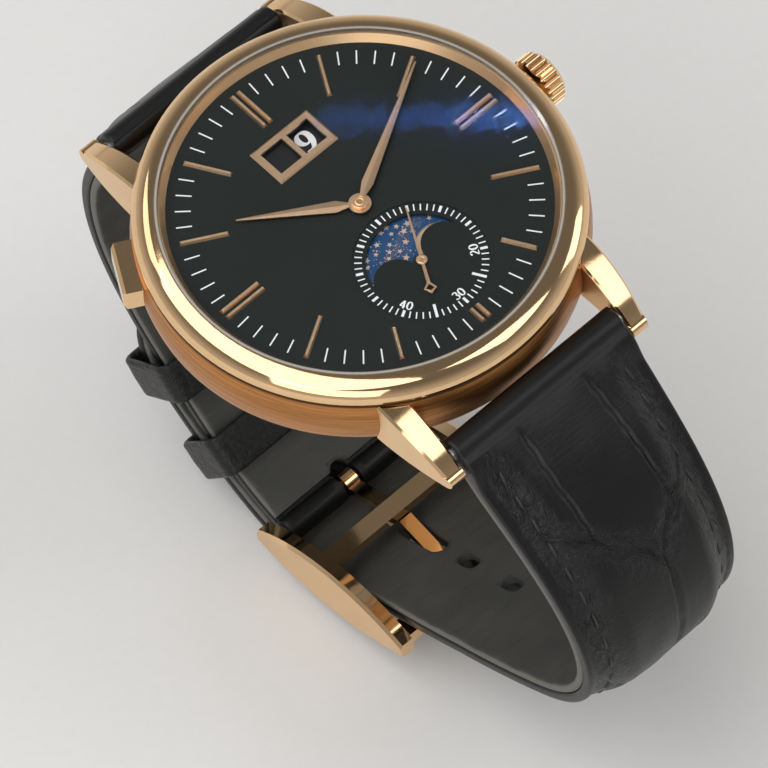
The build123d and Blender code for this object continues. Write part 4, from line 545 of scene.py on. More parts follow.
def figures(words, size, spot, turn, foot, rise, thin=0.1, thick=0.2):
    """A row of figures centred on a spot and turned by an angle in degrees.

    Strokes of a figure differ a little in height, so that no two faces coincide where they cross."""
    angle = math.radians(turn)
    spin = np.array([[math.cos(angle), math.sin(angle)], [-math.sin(angle), math.cos(angle)]])
    shapes = []
    for order, figure in enumerate(words):
        shift = np.array([FIGURE_PITCH * (order - (len(words) - 1) / 2) - FIGURE_MIDDLE, -0.5])
        for level, line in enumerate(FIGURES[figure]):
            outline = (stroke(line, thin, thick) + shift) * size @ spin + spot
            corners = len(outline)
            ends = [np.c_[outline, np.full(corners, at)] for at in (foot, foot + rise + level * 0.001)]
            start, last = np.arange(corners // 2 - 1), corners - 1
            lid = np.stack([start, start + 1, last - start - 1, last - start], 1)
            faces = np.concatenate([lid[:, ::-1], lid + corners, wall(corners)])
            shapes.append((np.concatenate(ends), faces.tolist()))
    return gathered(*shapes)


def spot_at(centre, reach, degrees):
    """The place at a distance from a centre in a direction."""
    angle = math.radians(degrees)
    return centre[0] + reach * math.cos(angle), centre[1] + reach * math.sin(angle)


white_print, place = begin_finish("white_print")
tint = place.noise(9.0).shade((0.86, 0.86, 0.84), (0.94, 0.94, 0.92))
end_finish(place, tint, 0.42 + place.noise(20.0) * 0.15, place.noise(12.0, 3.0) * 0.0006)

minutes = np.array([minute for minute in range(60) if minute % 5])
seconds = np.arange(60)
inner = np.where(np.isin(seconds, (25, 35)), LONG_MARK_START, SECONDS_TRACK[0])
marks = bars(seconds * 6, inner, SECONDS_TRACK[1], np.where(seconds % 5, 0.12, 0.25), MOON_POST)
shapes = [
    prisms(bars(minutes * 6, *MINUTE_TRACK, 0.13), DIAL_TOP, PRINT_HIGH),
    prisms(marks, SUBDIAL_FLOOR, PRINT_HIGH),
]
for second in (20, 30, 40):
    spot = spot_at(MOON_POST, FIGURE_REACH, 90 - 6 * second)
    shapes.append(figures(str(second), FIGURE_SIZE, spot, 180 - 6 * second, SUBDIAL_FLOOR, PRINT_HIGH))
add_piece("dial_printing", gathered(*shapes), white_print)


# Applied markers, date frame and hands: red gold, each facet struck flat and polished,
# riveted to the dial or pressed on its arbor.
dial_gold, place = begin_finish("dial_gold")
drawn = place.stretched(2, 2, 1).noise(1.5, 3.0)
tint = drawn.shade((0.90, 0.56, 0.31), (0.98, 0.70, 0.45))
end_finish(place, tint, 0.29 + drawn * 0.08, drawn * 0.0001, Metallic=1.0)
dress(dial_gold, "hour_markers", "date_frame", "hour_hand", "minute_hand", "seconds_hand")


# Hand collars: small turned rings of red gold, riveted to the middle of the minute and seconds hands.
# Each is given by its closed outline of radius and height.
MINUTE_COLLAR = (
    (0.30, 8.555), (0.68, 8.555), (0.68, 8.61), (0.64, 8.64), (0.56, 8.64), (0.52, 8.60), (0.44, 8.60),
    (0.40, 8.66), (0.34, 8.68), (0.30, 8.66),
)
SECONDS_COLLAR = (
    (0.16, 8.105), (0.40, 8.105), (0.40, 8.14), (0.36, 8.165), (0.26, 8.165), (0.22, 8.14), (0.16, 8.14),
)


def round_turn(count):
    """Evenly spread angles once round, in radians."""
    return np.linspace(0, 2 * np.pi, count, endpoint=False)


def skin(places, ends=True):
    """A closed surface through a grid of places, rows by columns by 3.

    Neighbours are joined in fours and the last column joins the first. With ends, a fan to its middle
    closes each end row. The faces are turned so that the closed shape has a positive volume."""
    rows, columns = places.shape[:2]
    start = np.arange(rows - 1)[:, None, None] * columns
    faces = (start + wall(columns)[None]).reshape(-1, 4).tolist()
    vertices = places.reshape(-1, 3)
    if ends:
        at = np.arange(columns)
        after = (at + 1) % columns
        first, last = rows * columns, rows * columns + 1
        vertices = np.concatenate([vertices, places[0].mean(0)[None], places[-1].mean(0)[None]])
        faces += np.stack([np.full(columns, first), after, at], 1).tolist()
        base = (rows - 1) * columns
        faces += np.stack([np.full(columns, last), base + at, base + after], 1).tolist()
    centre = vertices.mean(0)
    corners = np.array([face[:3] for face in faces])
    a, b, c = (vertices[corners[:, k]] - centre for k in range(3))
    if np.einsum("ij,ij->i", a, np.cross(b, c)).sum() < 0:
        faces = [face[::-1] for face in faces]
    return vertices, faces


def tube(rings):
    """A closed surface through rings of places, of which the last joins the first."""
    return skin(np.concatenate([rings, rings[:1]]), ends=False)


for name, outline, post, body in (
    ("minute_collar", MINUTE_COLLAR, (0, 0), "minutes"),
    ("seconds_collar", SECONDS_COLLAR, MOON_POST, "seconds"),
):
    radius, height = np.array(outline).T[:, :, None]
    turn = round_turn(72)[None]
    rings = np.stack([post[0] + radius * np.cos(turn), post[1] + radius * np.sin(turn), height + 0 * turn], 2)
    add_piece(name, tube(rings), dial_gold, body)


# Dial flange: the ring of red gold between the dial and the crystal. It is turned, and grained in
# circles by the same tool.
flange_gold, place = begin_finish("flange_gold")
lines = lathe_lines(place, fine=9.0)
# Painted light: the flange's gold is 1.04 times the case gold, lighter as though it catches more light.
end_finish(place, gold_colour(place, 1.04), 0.28 + lines * 0.12, lines * 0.002, Metallic=1.0)
dress(flange_gold, "dial_flange")


# Moon disc: lacquered deep blue with a band of fine gold dust; gold foil stars and two plain gold
# moons are laid on it, so one moon rises as the disc turns.
MOON_DISC_TOP = 7.4
MOON_REACH = 2.66
MOON_RISE = 10.0
MOON_RADIUS = 2.14
MOON_DOME = 0.05
FOIL_THICK = 0.012
DUST_BAND = 2.5
STAR_START = 0.95
STAR_SPREAD = 4.0
STAR_CLEAR = 0.08

moon_blue, place = begin_finish("moon_blue")
x, y, z = place.axes()
dust_line = x * 0.34 - (y - MOON_POST[1]) * 0.94
near, far = (1 - abs(dust_line - shift).between(0.3, 1.0) for shift in (-DUST_BAND, DUST_BAND))
veil = (near + far) * place.noise(1.3, 3.0).between(0.3, 0.6)
dust = (1 - place.cells(7.0).between(0.2, 0.3)) * veil
fine = (1 - place.cells(2.9).between(0.07, 0.12)) * 0.9
speck = place.maths("MINIMUM", dust + fine, 1.0)
tint = place.noise(0.8, 3.0).shade((0.001, 0.030, 0.105), (0.003, 0.085, 0.22))
tint = (veil * 0.3).shade(tint, (0.10, 0.09, 0.13))
end_finish(
    place,
    speck.shade(tint, (0.80, 0.66, 0.50)),
    0.26 + place.noise(5.0) * 0.1,
    speck * 0.004,
    Metallic=speck * 0.4,
    Coat_Weight=0.4,
    Coat_Roughness=0.1,
)
dress(moon_blue, "moon_disc")

foil_gold, place = begin_finish("foil_gold")
leaf = place.noise(6.0, 4.0, 0.6)
tint = leaf.shade((0.88, 0.56, 0.34), (0.97, 0.76, 0.55))
end_finish(place, tint, 0.3 + leaf * 0.15, leaf * 0.004, Metallic=0.8)

scatter = np.random.default_rng(19)


def star_field(count, smallest, largest, gap):
    """Places and sizes of stars spread over the disc, clear of both moons and of each other."""
    kept = []
    moons = [spot_at((0, 0), MOON_REACH, MOON_RISE + turn) for turn in (0, 180)]
    for radius, turn, size in scatter.random((60 * count, 3)):
        reach = STAR_START + STAR_SPREAD * radius**0.7
        angle = 2 * math.pi * turn
        spot = reach * np.array([math.cos(angle), math.sin(angle)])
        size = smallest + (largest - smallest) * size**2
        clear = [math.dist(spot, moon) for moon in moons]
        away = [math.dist(spot, star[:2]) - star[2] for star in kept]
        if min(clear) > MOON_RADIUS + STAR_CLEAR + size and min(away, default=9) > size + gap:
            kept.append((*spot, size))
        if len(kept) == count:
            break
    return np.array(kept)


def stars(field, points, waist, thick):
    """Flat stars round each place of a field, each with alternating tips and waists and turned at random."""
    turn = round_turn(2 * points)[None] + (scatter.random(len(field)) * 2)[:, None]
    reach = field[:, 2:3] * np.where(np.arange(2 * points) % 2, waist, 1.0)[None]
    x = field[:, 0:1] + reach * np.cos(turn)
    y = MOON_POST[1] + field[:, 1:2] + reach * np.sin(turn)
    return prisms(np.stack([x, y], 2), MOON_DISC_TOP, thick)


def dome(centre):
    """A moon: its height falls from the middle to the rim as one minus the square of the radius share."""
    share = np.linspace(1, 0.06, 10)[:, None]
    turn = round_turn(64)[None]
    x = centre[0] + MOON_RADIUS * share * np.cos(turn)
    y = centre[1] + MOON_RADIUS * share * np.sin(turn)
    z = MOON_DISC_TOP + FOIL_THICK + MOON_DOME * (1 - share**2) + 0 * turn
    foot = np.stack([x[0], y[0], np.full(64, MOON_DISC_TOP)], 1)[None]
    return skin(np.concatenate([foot, np.stack([x, y, z], 2)]))


large = star_field(40, 0.26, 0.46, 0.1)
small = star_field(90, 0.04, 0.1, 0.05)
star_shapes = gathered(stars(large, 5, 0.42, 0.03), stars(small, 4, 0.8, 0.025))
add_piece("moon_stars", star_shapes, foil_gold, "moon")
moons = [dome(spot_at(MOON_POST, MOON_REACH, MOON_RISE + turn)) for turn in (0, 180)]
add_piece("gold_moons", gathered(*moons), foil_gold, "moon", smooth=True)


# Date discs: two overlapping black discs with white figures, units on the right and tens on the left;
# the tens disc is blank in its window.
date_black, place = begin_finish("date_black")
satin = place.noise(14.0, 3.0, 0.7)
tint = satin.shade((0.004, 0.0045, 0.006), (0.009, 0.0095, 0.012))
end_finish(place, tint, 0.36 + satin * 0.14, satin * 0.002)
dress(date_black, "date_units_disc", "date_tens_disc")

DATE_SIZE = 2.35

for name, body, centre, reach, first, words, top in (
    ("units_figures", "date_units", (6.4, 8.43), 4.9, 180, "9012345678", 7.15),
    ("tens_figures", "date_tens", (-5.1, 8.43), 3.6, 0, " 123", 7.4),
):
    shapes = []
    for order, figure in enumerate(words):
        if figure != " ":
            turn = 360 * order / len(words)
            spot = spot_at(centre, reach, first + turn)
            shapes.append(figures(figure, DATE_SIZE, spot, turn, top, 0.02, 0.08, 0.24))
    add_piece(name, gathered(*shapes), white_print, body)


# Crown: turned and fluted red gold, pressed on its stem. The flutes are bright and the end is domed,
# and handling has left more haze on it than on the bezel.
dress(polished("crown_gold", 0.09), "crown")


# Strap leather: black scale leather, folded round a spring bar at the lug. Large flat scales run down
# the middle, parted by narrow creases; bands of fine wrinkles part their rows and line both edges.
SHORT_SEAM = (
    (21.9, 3.3), (23.31, -0.62), (24.83, -4.49), (26.13, -8.45), (26.77, -12.56),
    (26.67, -16.71), (25.89, -20.8), (24.52, -24.73), (22.63, -28.44), (20.32, -31.89),
    (17.66, -35.1), (14.74, -38.06), (11.5, -40.67), (7.9, -42.77), (4.0, -44.2),
)
LONG_SEAM = (
    (-21.9, 3.3), (-25.15, 0.29), (-28.44, -2.66), (-31.57, -5.8), (-34.25, -9.32),
    (-36.14, -13.31), (-36.75, -17.67), (-35.8, -21.97), (-33.5, -25.74), (-30.26, -28.73),
    (-26.65, -31.3), (-22.94, -33.71), (-19.12, -35.96), (-15.22, -38.05), (-11.25, -40.0),
    (-7.25, -41.9), (-3.32, -43.94), (0.64, -45.92), (4.97, -46.57), (9.19, -45.29),
    (13.05, -43.14), (16.67, -40.58), (19.98, -37.65), (22.97, -34.38), (25.65, -30.86),
)
SHORT_LENGTH = 58.3
LONG_LENGTH = 106.26
LUG_ROLL = 1.45
BUCKLE_ROLL = 1.2
LUG_BAR_HOLE = 0.8
BUCKLE_BAR_HOLE = 0.65
TAIL_TIP = 7.5
BODY_THICK = 1.2
PADDING = 1.8
EDGE_ROUND = 0.32
STITCH_INSET = 2.2
SLOT_MIDDLE = 66.94
HOLE_PITCH = 6.6
HOLES = [(SLOT_MIDDLE + k * HOLE_PITCH, 2.6, 1.6) for k in (-2, -1, 1, 2)]
SLOT = (SLOT_MIDDLE, 6.4, 2.2)
NOTCH_CUT = (SHORT_LENGTH + 0.6, 5.6, 2.2)

# A row of scales: where it ends, how far its end bows and about which x, how its last crease leans,
# and the share of the half width at which each crease in it runs.
LONG_ROWS = (
    (13.4, 4.4, 0.8, 0.06, -0.42, 0.46),
    (29.5, 3.2, -1.5, -0.05, 0.06),
    (41.0, 2.4, 1.5, 0.0, -0.4, 0.34),
    (51.0, 2.2, -1.0, 0.04, -0.06),
    (60.0, 1.8, 1.2, 0.0, -0.36, 0.38),
    (68.5, 1.6, -1.0, 0.0, 0.04),
    (76.5, 1.4, 0.8, 0.0, -0.34, 0.36),
    (84.0, 1.3, -0.8, 0.0, 0.0),
    (91.0, 1.2, 0.6, 0.0, -0.34, 0.34),
    (98.0, 1.0, -0.5, 0.0, 0.02),
    (112.0, 1.0, 0.5, 0.0, -0.3, 0.3),
)
SHORT_ROWS = (
    (12.6, 3.8, -1.0, -0.04, -0.44, 0.4),
    (26.5, 3.0, 1.2, 0.04, -0.04),
    (37.5, 2.2, -1.2, 0.0, -0.36, 0.4),
    (47.0, 1.8, 1.0, 0.0, 0.03),
    (64.0, 1.4, -0.6, 0.0, -0.34, 0.36),
)


def seam_line(points, shares):
    """Places and directions on the smooth curve through a seam's points, at shares of its length.

    It is the natural cubic curve: its bend at each point solves the usual 1, 4, 1 equations, and it runs
    straight on past its ends."""
    points = np.asarray(points, float)
    spans = len(points) - 1
    grid = np.diag([4.0] * (spans - 1)) + np.diag([1.0] * (spans - 2), 1) + np.diag([1.0] * (spans - 2), -1)
    bends = np.zeros_like(points)
    bends[1:-1] = np.linalg.solve(grid, 6 * (points[:-2] - 2 * points[1:-1] + points[2:]))
    at = np.clip(shares, 0, 1) * spans
    index = np.minimum(at.astype(int), spans - 1)
    f = (at - index)[..., None]
    g = 1 - f
    near, far, bend_near, bend_far = points[index], points[index + 1], bends[index], bends[index + 1]
    place = g * near + f * far + (g**3 - g) / 6 * bend_near + (f**3 - f) / 6 * bend_far
    run = far - near - (3 * g**2 - 1) / 6 * bend_near + (3 * f**2 - 1) / 6 * bend_far
    beyond = (shares * spans - at)[..., None]
    return place + run * beyond, run / np.linalg.norm(run, axis=-1, keepdims=True)


def half_width(z):
    """Half the strap's width, which tapers in a straight line from the lugs to the buckle."""
    return 9.8 - 2.0 * np.clip(-z / 36.0, 0, 1)


def eased(value, low, high):
    """0 below low, 1 above high, and a smooth step between them."""
    t = np.clip((value - low) / (high - low), 0, 1)
    return t * t * (3 - 2 * t)


def bell(distance, width):
    """1 at no distance, falling on both sides as e to the minus square of the distance over the width."""
    return np.exp(-((distance / width) ** 2))


def ripple(x, y, seed, long=9.0, short=1.6):
    """Smooth random height from -1 to 1: a sum of slanted sine waves of seeded direction and length."""
    chance = np.random.default_rng(seed)
    waves = 14
    total = 0
    turns = chance.random(waves) * np.pi
    lengths = np.geomspace(long, short, waves)
    phases = chance.random(waves)
    for turn, length, phase in zip(turns, lengths, phases):
        slant = (x * math.cos(turn) + y * math.sin(turn)) / length
        total = total + np.sin(2 * np.pi * (slant + phase)) / waves**0.5
    return total


def crease(distance, width, depth):
    """A narrow crease with a raised rim on each side, from the distance to its middle."""
    return depth * (0.14 * bell(np.abs(distance) - 2.1 * width, 1.2 * width) - bell(distance, width))


def scale_relief(x, along, rows, width, seed):
    """Height of the scales, how wrinkled the leather is, and how far past a row's end, at each place.

    Each row of scales ends at a line across the strap that bends with x, and is parted lengthwise by
    creases at given shares of the half width. Near row ends and edges the wrinkling grows."""
    sway = ripple(x, along, seed)
    height = 0.05 * ripple(x, along, seed + 1, long=22.0, short=4.0)
    wrinkled = np.zeros_like(x + along)
    nearest = along + 50.0 + 0 * x
    start = -50.0
    for end, bow, peak, lean, *parts in rows:
        line = end + bow * (1 - np.clip(np.abs(x - peak) / (0.55 * width), 0, 1.6) ** 1.1) + 0.35 * sway
        after = along - line
        inside = eased(along - start, -0.5, 0.9) * eased(-after, -0.5, 0.9)
        for part in parts:
            slant = lean * (along - end) if part == parts[-1] else 0
            aside = x - (part * width + slant + 0.09 * sway)
            height = height + inside * (crease(aside, 0.22, 0.22) - 0.10 * bell(aside, 1.4))
        fold = crease(after, 0.28, 0.13) * eased(width - np.abs(x), 1.2, 2.6)
        height = height + fold - 0.12 * bell(after, 1.5)
        wrinkled = np.maximum(wrinkled, bell(after, 1.9))
        nearest = np.where(np.abs(after) < np.abs(nearest), after, nearest)
        start = line
    flank = 1 - eased(width - np.abs(x), 2.3, 4.4 + 0.5 * sway)
    return height, np.clip(np.maximum(wrinkled, flank * (0.75 + 0.25 * sway)), 0, 1), nearest


def arch(distance, radius):
    """Height of a roll's round back over its axis."""
    return np.sqrt(np.clip(radius**2 - distance**2, 0, None))


class StrapHalf:
    """One half of the strap: where its seam runs, which side is out, and how thick it is along its length."""

    def __init__(self, points, length, side, padded_share, rows, seed, rolls, tip=0.0):
        self.points, self.length, self.side, self.padded_share = points, length, side, padded_share
        self.rows, self.seed, self.rolls, self.tip = rows, seed, rolls, tip

    def lay(self, x, along, off):
        """Places on the strap: off the seam by a distance, across it by x, along it from the lug bar."""
        place, run = seam_line(self.points, along / self.length)
        y = place[..., 0] - self.side * run[..., 1] * off
        z = place[..., 1] + self.side * run[..., 0] * off
        return np.stack([x + 0 * y, y, z], -1)

    def width_at(self, along):
        """Half the width: the taper, and on the long half the rounded tip of its tail."""
        width = half_width(seam_line(self.points, along / self.length)[0][..., 1])
        if self.tip:
            past = np.clip((along - self.length + self.tip) / self.tip, 0, 0.9995)
            width = EDGE_ROUND + (width - EDGE_ROUND) * (1 - past**2.3) ** (1 / 2.3)
        return width

    def crest(self, along):
        """Height of the leather over the seam in the middle: body, padding and the rolls at its ends."""
        share = np.clip(along / self.length / self.padded_share, 0, 1)
        leather = (BODY_THICK + PADDING * np.sin(np.pi * share**0.6)) * eased(along, -LUG_ROLL, 1.2)
        for at, radius in self.rolls:
            leather = (leather**5 + arch(along - at, radius) ** 5) ** 0.2
        return leather

    def under(self, along):
        """Depth of the rolls below the seam; elsewhere the leather stops at the seam."""
        depth = 0 * along
        for at, radius in self.rolls:
            depth = np.minimum(depth, -arch(along - at, radius))
        return depth

    def top(self, x, along):
        """Height of the outer face over the seam, how wrinkled it is, and how far past a row's end."""
        width = self.width_at(along)
        inset = width - np.abs(x)
        crest = self.crest(along)
        rolled = 1 - eased(along, 0.6, 4.5)
        edge = np.minimum(crest, BODY_THICK - 0.12) * (1 - rolled) + crest * rolled
        swell = eased(inset, 0.9, 4.6) ** 0.8 * (0.86 + 0.14 * (1 - (x / width) ** 2))
        height, wrinkled, past_row = scale_relief(x, along, self.rows, width, self.seed)
        calm = eased(along, 0.8, 3.2) * eased(inset, 0.3, 1.6)
        welt = -0.09 * bell(inset - 0.95, 0.16) - 0.12 * bell(inset - STITCH_INSET, 0.28)
        total = edge + (crest - edge) * swell + height * calm + welt * eased(along, 1.5, 4.0)
        return total, wrinkled * calm, past_row

    def skin_places(self, along):
        """The closed outer skin: rows run along the strap, columns round its section.

        A section's place is a share of the half width plus a step out, and a height between the face
        below and the face above plus a step up; the corners are short arcs."""
        flat, floor = np.linspace(-1, 1, 124), np.linspace(1, -1, 22)[1:-1]
        bend = np.radians([22.5, 45, 67.5, 90])
        out = EDGE_ROUND * np.r_[np.sin(bend), 1, 1, 1, 0.8, 0.4]
        lift = EDGE_ROUND * np.r_[np.cos(bend) - 1, -0.5, 0, 0.6, 0.2, 0]
        weight = np.r_[np.ones(4), 0.66, 0.33, np.zeros(3)]
        share = np.r_[flat, np.ones(9), floor, -np.ones(9)]
        out = np.r_[0 * flat, out, 0 * floor, -out[::-1]]
        lift = np.r_[0 * flat, lift, 0 * floor, lift[::-1]]
        weight = np.r_[1 + 0 * flat, weight, 0 * floor, weight[::-1]]
        along = along[:, None]
        x = share * (self.width_at(along) - EDGE_ROUND)
        top, wrinkled, past_row = self.top(x, along)
        off = weight * top + (1 - weight) * self.under(along) + lift
        guide = np.stack([x + out, along + 0 * x, wrinkled * weight], -1)
        folds = np.stack([past_row, self.width_at(along) - np.abs(x), 0 * x], -1)
        return self.lay(x + out, along + 0 * x, off), {"leather_guide": guide, "leather_folds": folds}


short_rolls = ((0.0, LUG_ROLL), (SHORT_LENGTH, BUCKLE_ROLL))
short_half = StrapHalf(SHORT_SEAM, SHORT_LENGTH, 1, 1.0, SHORT_ROWS, 5, short_rolls)
long_half = StrapHalf(LONG_SEAM, LONG_LENGTH, -1, 0.5, LONG_ROWS, 11, ((0.0, LUG_ROLL),), TAIL_TIP)


def along_rows(half, step=0.23):
    """Places along a strap half: close together round its rolls and evenly spaced between them."""
    nose = -LUG_ROLL * np.cos(np.linspace(0.1, np.pi, 26))
    if half.tip:
        tail = half.length - half.tip * np.cos(np.linspace(0, np.pi / 2, 30))[:-1]
        tail = np.r_[tail, half.length - 0.002]
    else:
        tail = half.length - BUCKLE_ROLL * np.cos(np.linspace(0, np.pi - 0.1, 24))
    return np.r_[nose, np.arange(nose[-1] + step, tail[0] - step / 2, step), tail]


def add_guides(piece, guides):
    """Keeps three numbers for every vertex under each name.

    leather_guide is its place across and along the strap and a share that lightens it: how wrinkled it is,
    which paints highlights on the leather's wrinkle lines, or how near the lining's pale cut edge it is.
    leather_folds is how far it is past a row's end and in from the edge."""
    for name, guide in guides.items():
        flat = guide.reshape(-1, 3)
        filled = np.zeros((len(piece.data.vertices), 3), np.float32)
        filled[: len(flat)] = flat
        attribute = piece.data.attributes.new(name, "FLOAT_VECTOR", "POINT")
        attribute.data.foreach_set("vector", filled.ravel())


def tunnels(half, cuts):
    """Cutters through a strap half: stadium shaped holes given by their middle, length and width."""
    shapes = []
    for middle, length, width in cuts:
        turn = round_turn(32) + 0.05
        x = width / 2 * np.cos(turn)
        along = middle + width / 2 * np.sin(turn) + np.sign(np.sin(turn)) * (length - width) / 2
        rows = [half.lay(x, along, np.full(32, off)) for off in np.linspace(-3.0, 4.5, 4)]
        shapes.append(skin(np.array(rows)))
    return shapes


def rod(spot, radius):
    """A rod across the strap round a spring bar."""
    turn = round_turn(32)
    ring = spot[0] + radius * np.cos(turn), spot[1] + radius * np.sin(turn)
    return skin(np.array([np.stack([np.full(32, x), *ring], 1) for x in (-12.0, 12.0)]))


def pierced(piece, cutters):
    """Takes the cutters out of a piece."""
    cutter = made_object("cutter", gathered(*cutters), piece.data.materials[0])
    cut = piece.modifiers.new("holes", "BOOLEAN")
    cut.operation, cut.solver, cut.object = "DIFFERENCE", "MANIFOLD", cutter
    bpy.context.view_layer.update()
    graph = bpy.context.evaluated_depsgraph_get()
    source = piece.evaluated_get(graph)
    mesh = bpy.data.meshes.new_from_object(source, preserve_all_data_layers=True, depsgraph=graph)
    piece.modifiers.clear()
    mesh.set_sharp_from_angle(angle=math.radians(60))
    piece.data = mesh
    bpy.data.objects.remove(cutter)


def add_layer(name, places, guides, finish, slot, cutters, node):
    """A layer of the strap in place of a node: a closed skin with what its vertices keep, pierced."""
    piece = add_piece(name, skin(places), finish, smooth=True)
    add_guides(piece, guides)
    pierced(piece, cutters)
    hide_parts(node)


leather, place = begin_finish("scale_leather")
guide = place.kept("leather_guide")
across, along, wrinkled = guide.axes()
past_row, inset = place.kept("leather_folds").axes()[:2]
sway = guide.stretched(1, 1, 0).noise(0.7, 3.0)
row_spot = place.joined(across * 0.45 + sway, past_row * 2.6 + sway * 3.0, 0.0)
row_lines = row_spot.noise(1.0, 3.0, 0.6).between(0.42, 0.62)
edge_spot = place.joined(inset * 1.9 + sway * 3.0, along * 0.55 + inset * 0.9, 0.0)
edge_lines = edge_spot.noise(1.0, 3.0, 0.6).between(0.42, 0.62)
by_row = 1 - abs(past_row).between(0.8, 2.4)
folded = by_row * row_lines + (1 - by_row) * edge_lines
net = 1 - (guide.stretched(0.8, 1.2, 0) + sway).cells(2.2, "DISTANCE_TO_EDGE").between(0.0, 0.22)
grain = place.noise(6.0, 4.0, 0.6)
hair_line = guide.stretched(2.6, 0.4, 0).noise(1.4, 4.0, 0.65)
hair_cross = guide.stretched(0.3, 2.6, 0).noise(1.3, 4.0, 0.65)
end_finish(
    place,
    # Partly painted light: the grain is the leather's own tone, and the wrinkle lines are painted lighter as
    # highlights on their ridges.
    (grain * 0.4 + wrinkled * folded * 0.6).shade((0.0045, 0.0048, 0.0047), (0.013, 0.0135, 0.013)),
    0.27 + grain * 0.1 + hair_cross * 0.08 - wrinkled * folded * 0.06,
    grain * 0.008 + hair_line * 0.02 + hair_cross * 0.03 + wrinkled * (folded * 0.14 - net * 0.03),
    Specular_IOR_Level=0.32,
)

short_rods = [rod(SHORT_SEAM[0], LUG_BAR_HOLE), rod(SHORT_SEAM[-1], BUCKLE_BAR_HOLE)]
long_rods = [rod(LONG_SEAM[0], LUG_BAR_HOLE)]
for name, half, cuts, rods, node in (
    ("short_leather", short_half, [NOTCH_CUT], short_rods, "short_strap"),
    ("long_leather", long_half, HOLES + [SLOT], long_rods, "long_strap"),
):
    cutters = tunnels(half, cuts) + rods
    add_layer(name, *half.skin_places(along_rows(half)), leather, "leather", cutters, node)


# Strap lining: dark grey calf glued under the leather, smooth but creased across where the strap bends,
# with painted highlights on the crease tops.
# Its cut edge is paler.
LINING_THICK = 0.88
LINING_START = 1.8
SHORT_LINING_END = 56.75
LONG_LINING_END = LONG_LENGTH - 0.05

lining, place = begin_finish("grey_lining")
guide = place.kept("leather_guide")
across = guide.stretched(0.22, 1.5, 1).noise(1.0, 4.0, 0.65)
pores = place.noise(10.0, 4.0, 0.7)
# Partly painted light: the slow noise is the calf's own mottling, and the crease noise paints highlights on the
# crease tops.
mottle_and_crease_highlight = (place.noise(0.22, 3.0) * 0.6 + across * 0.4).shade((0.020, 0.021, 0.019), (0.080, 0.080, 0.073))
tint = (guide.axes()[2] * 0.8).shade(mottle_and_crease_highlight, (0.15, 0.145, 0.125))
end_finish(place, tint, 0.5 + pores * 0.2, across * 0.09 + pores * 0.02, Specular_IOR_Level=0.4)


def lining_places(half, last, step=0.5):
    """The closed skin of a lining: an outer face glued to the leather and an inner face with cross folds."""
    along = np.arange(LINING_START, last, step)
    along = np.r_[along[along < last - step / 2], last][:, None]
    flat = np.linspace(-1, 1, 44)
    share = np.r_[flat, np.ones(4), flat[::-1], -np.ones(4)]
    weight = np.r_[0 * flat, 0.1, 0.35, 0.65, 0.9, 1 + 0 * flat, 0.9, 0.65, 0.35, 0.1]
    out = 0.2 * np.r_[0 * flat, 0.7, 1, 1, 0.7, 0 * flat, -0.7, -1, -1, -0.7]
    x = share * (half.width_at(along) - 0.25)
    folds = 0.05 * ripple(0.35 * x, along, half.seed + 7, long=6.0, short=1.3)
    off = -0.02 - weight * (LINING_THICK - 0.05 + folds * (weight == 1))
    rim = eased(np.abs(x + out), half.width_at(along) - 0.3, half.width_at(along) - 0.1)
    guide = np.stack([x + out, along + 0 * x, rim], -1)
    return half.lay(x + out, along + 0 * x, off), {"leather_guide": guide}


for name, half, last, cuts, node in (
    ("short_lining", short_half, SHORT_LINING_END, [NOTCH_CUT], "short_strap_lining"),
    ("long_lining", long_half, LONG_LINING_END, HOLES + [SLOT], "long_strap_lining"),
):
    add_layer(name, *lining_places(half, last), lining, "lining", tunnels(half, cuts), node)


# Stitching: waxed black thread, saddle stitched in one row inside each edge of both halves. It holds
# the leather on the lining.
STITCH_START = 4.2
SHORT_STITCH_END = 54.0
LONG_STITCH_END = 97.0
STITCH_PITCH = 2.6
STITCH_LONG = 1.75
STITCH_THICK = 0.19
STITCH_LEAN = 0.16

thread, place = begin_finish("black_thread")
twist = place.stretched(1, 1.4, 1.2).noise(5.0, 3.0, 0.6)
end_finish(place, twist.shade((0.01, 0.01, 0.01), (0.03, 0.03, 0.029)), 0.42 + twist * 0.2, twist * 0.03)


def stitch_row(half, last, side):
    """Stitches along one edge: each is a slim ellipsoid that leans a little across the row.

    Its radius is the thickness times the square root of the sine of the way along it."""
    centres = np.arange(STITCH_START, last, STITCH_PITCH)[:, None, None]
    way = np.linspace(0.02, 0.98, 7)[None, :, None]
    turn = round_turn(6)[None, None, :]
    along = centres + (way - 0.5) * STITCH_LONG + 0 * turn
    radius = STITCH_THICK * np.sqrt(np.sin(np.pi * way))
    base = side * (half.width_at(along) - STITCH_INSET)
    x = base + side * STITCH_LEAN * (way - 0.5) + radius * np.cos(turn)
    off = half.top(base, along)[0] + 0.02 - 0.1 * (2 * way - 1) ** 2 + radius * np.sin(turn)
    return [skin(stitch) for stitch in half.lay(x, along, off)]


for name, half, last in (
    ("short_stitches", short_half, SHORT_STITCH_END),
    ("long_stitches", long_half, LONG_STITCH_END),
):
    stitches = gathered(*stitch_row(half, last, 1), *stitch_row(half, last, -1))
    add_piece(name, stitches, thread, smooth=True)


# Keepers: two leather loops that hold the tail; the fixed one is sewn in by the buckle, the free one slides.
# Each is a band with rounded edges and a line pressed along both, carried round a rounded rectangle.
KEEPER_HALF_BAND = 2.05
KEEPER_HALF_THICK = 0.4
KEEPER_MIDDLE = 0.45
KEEPER_FLOOR = -1.25
KEEPER_LINE = 1.35
TAIL_ROOM = 2.8


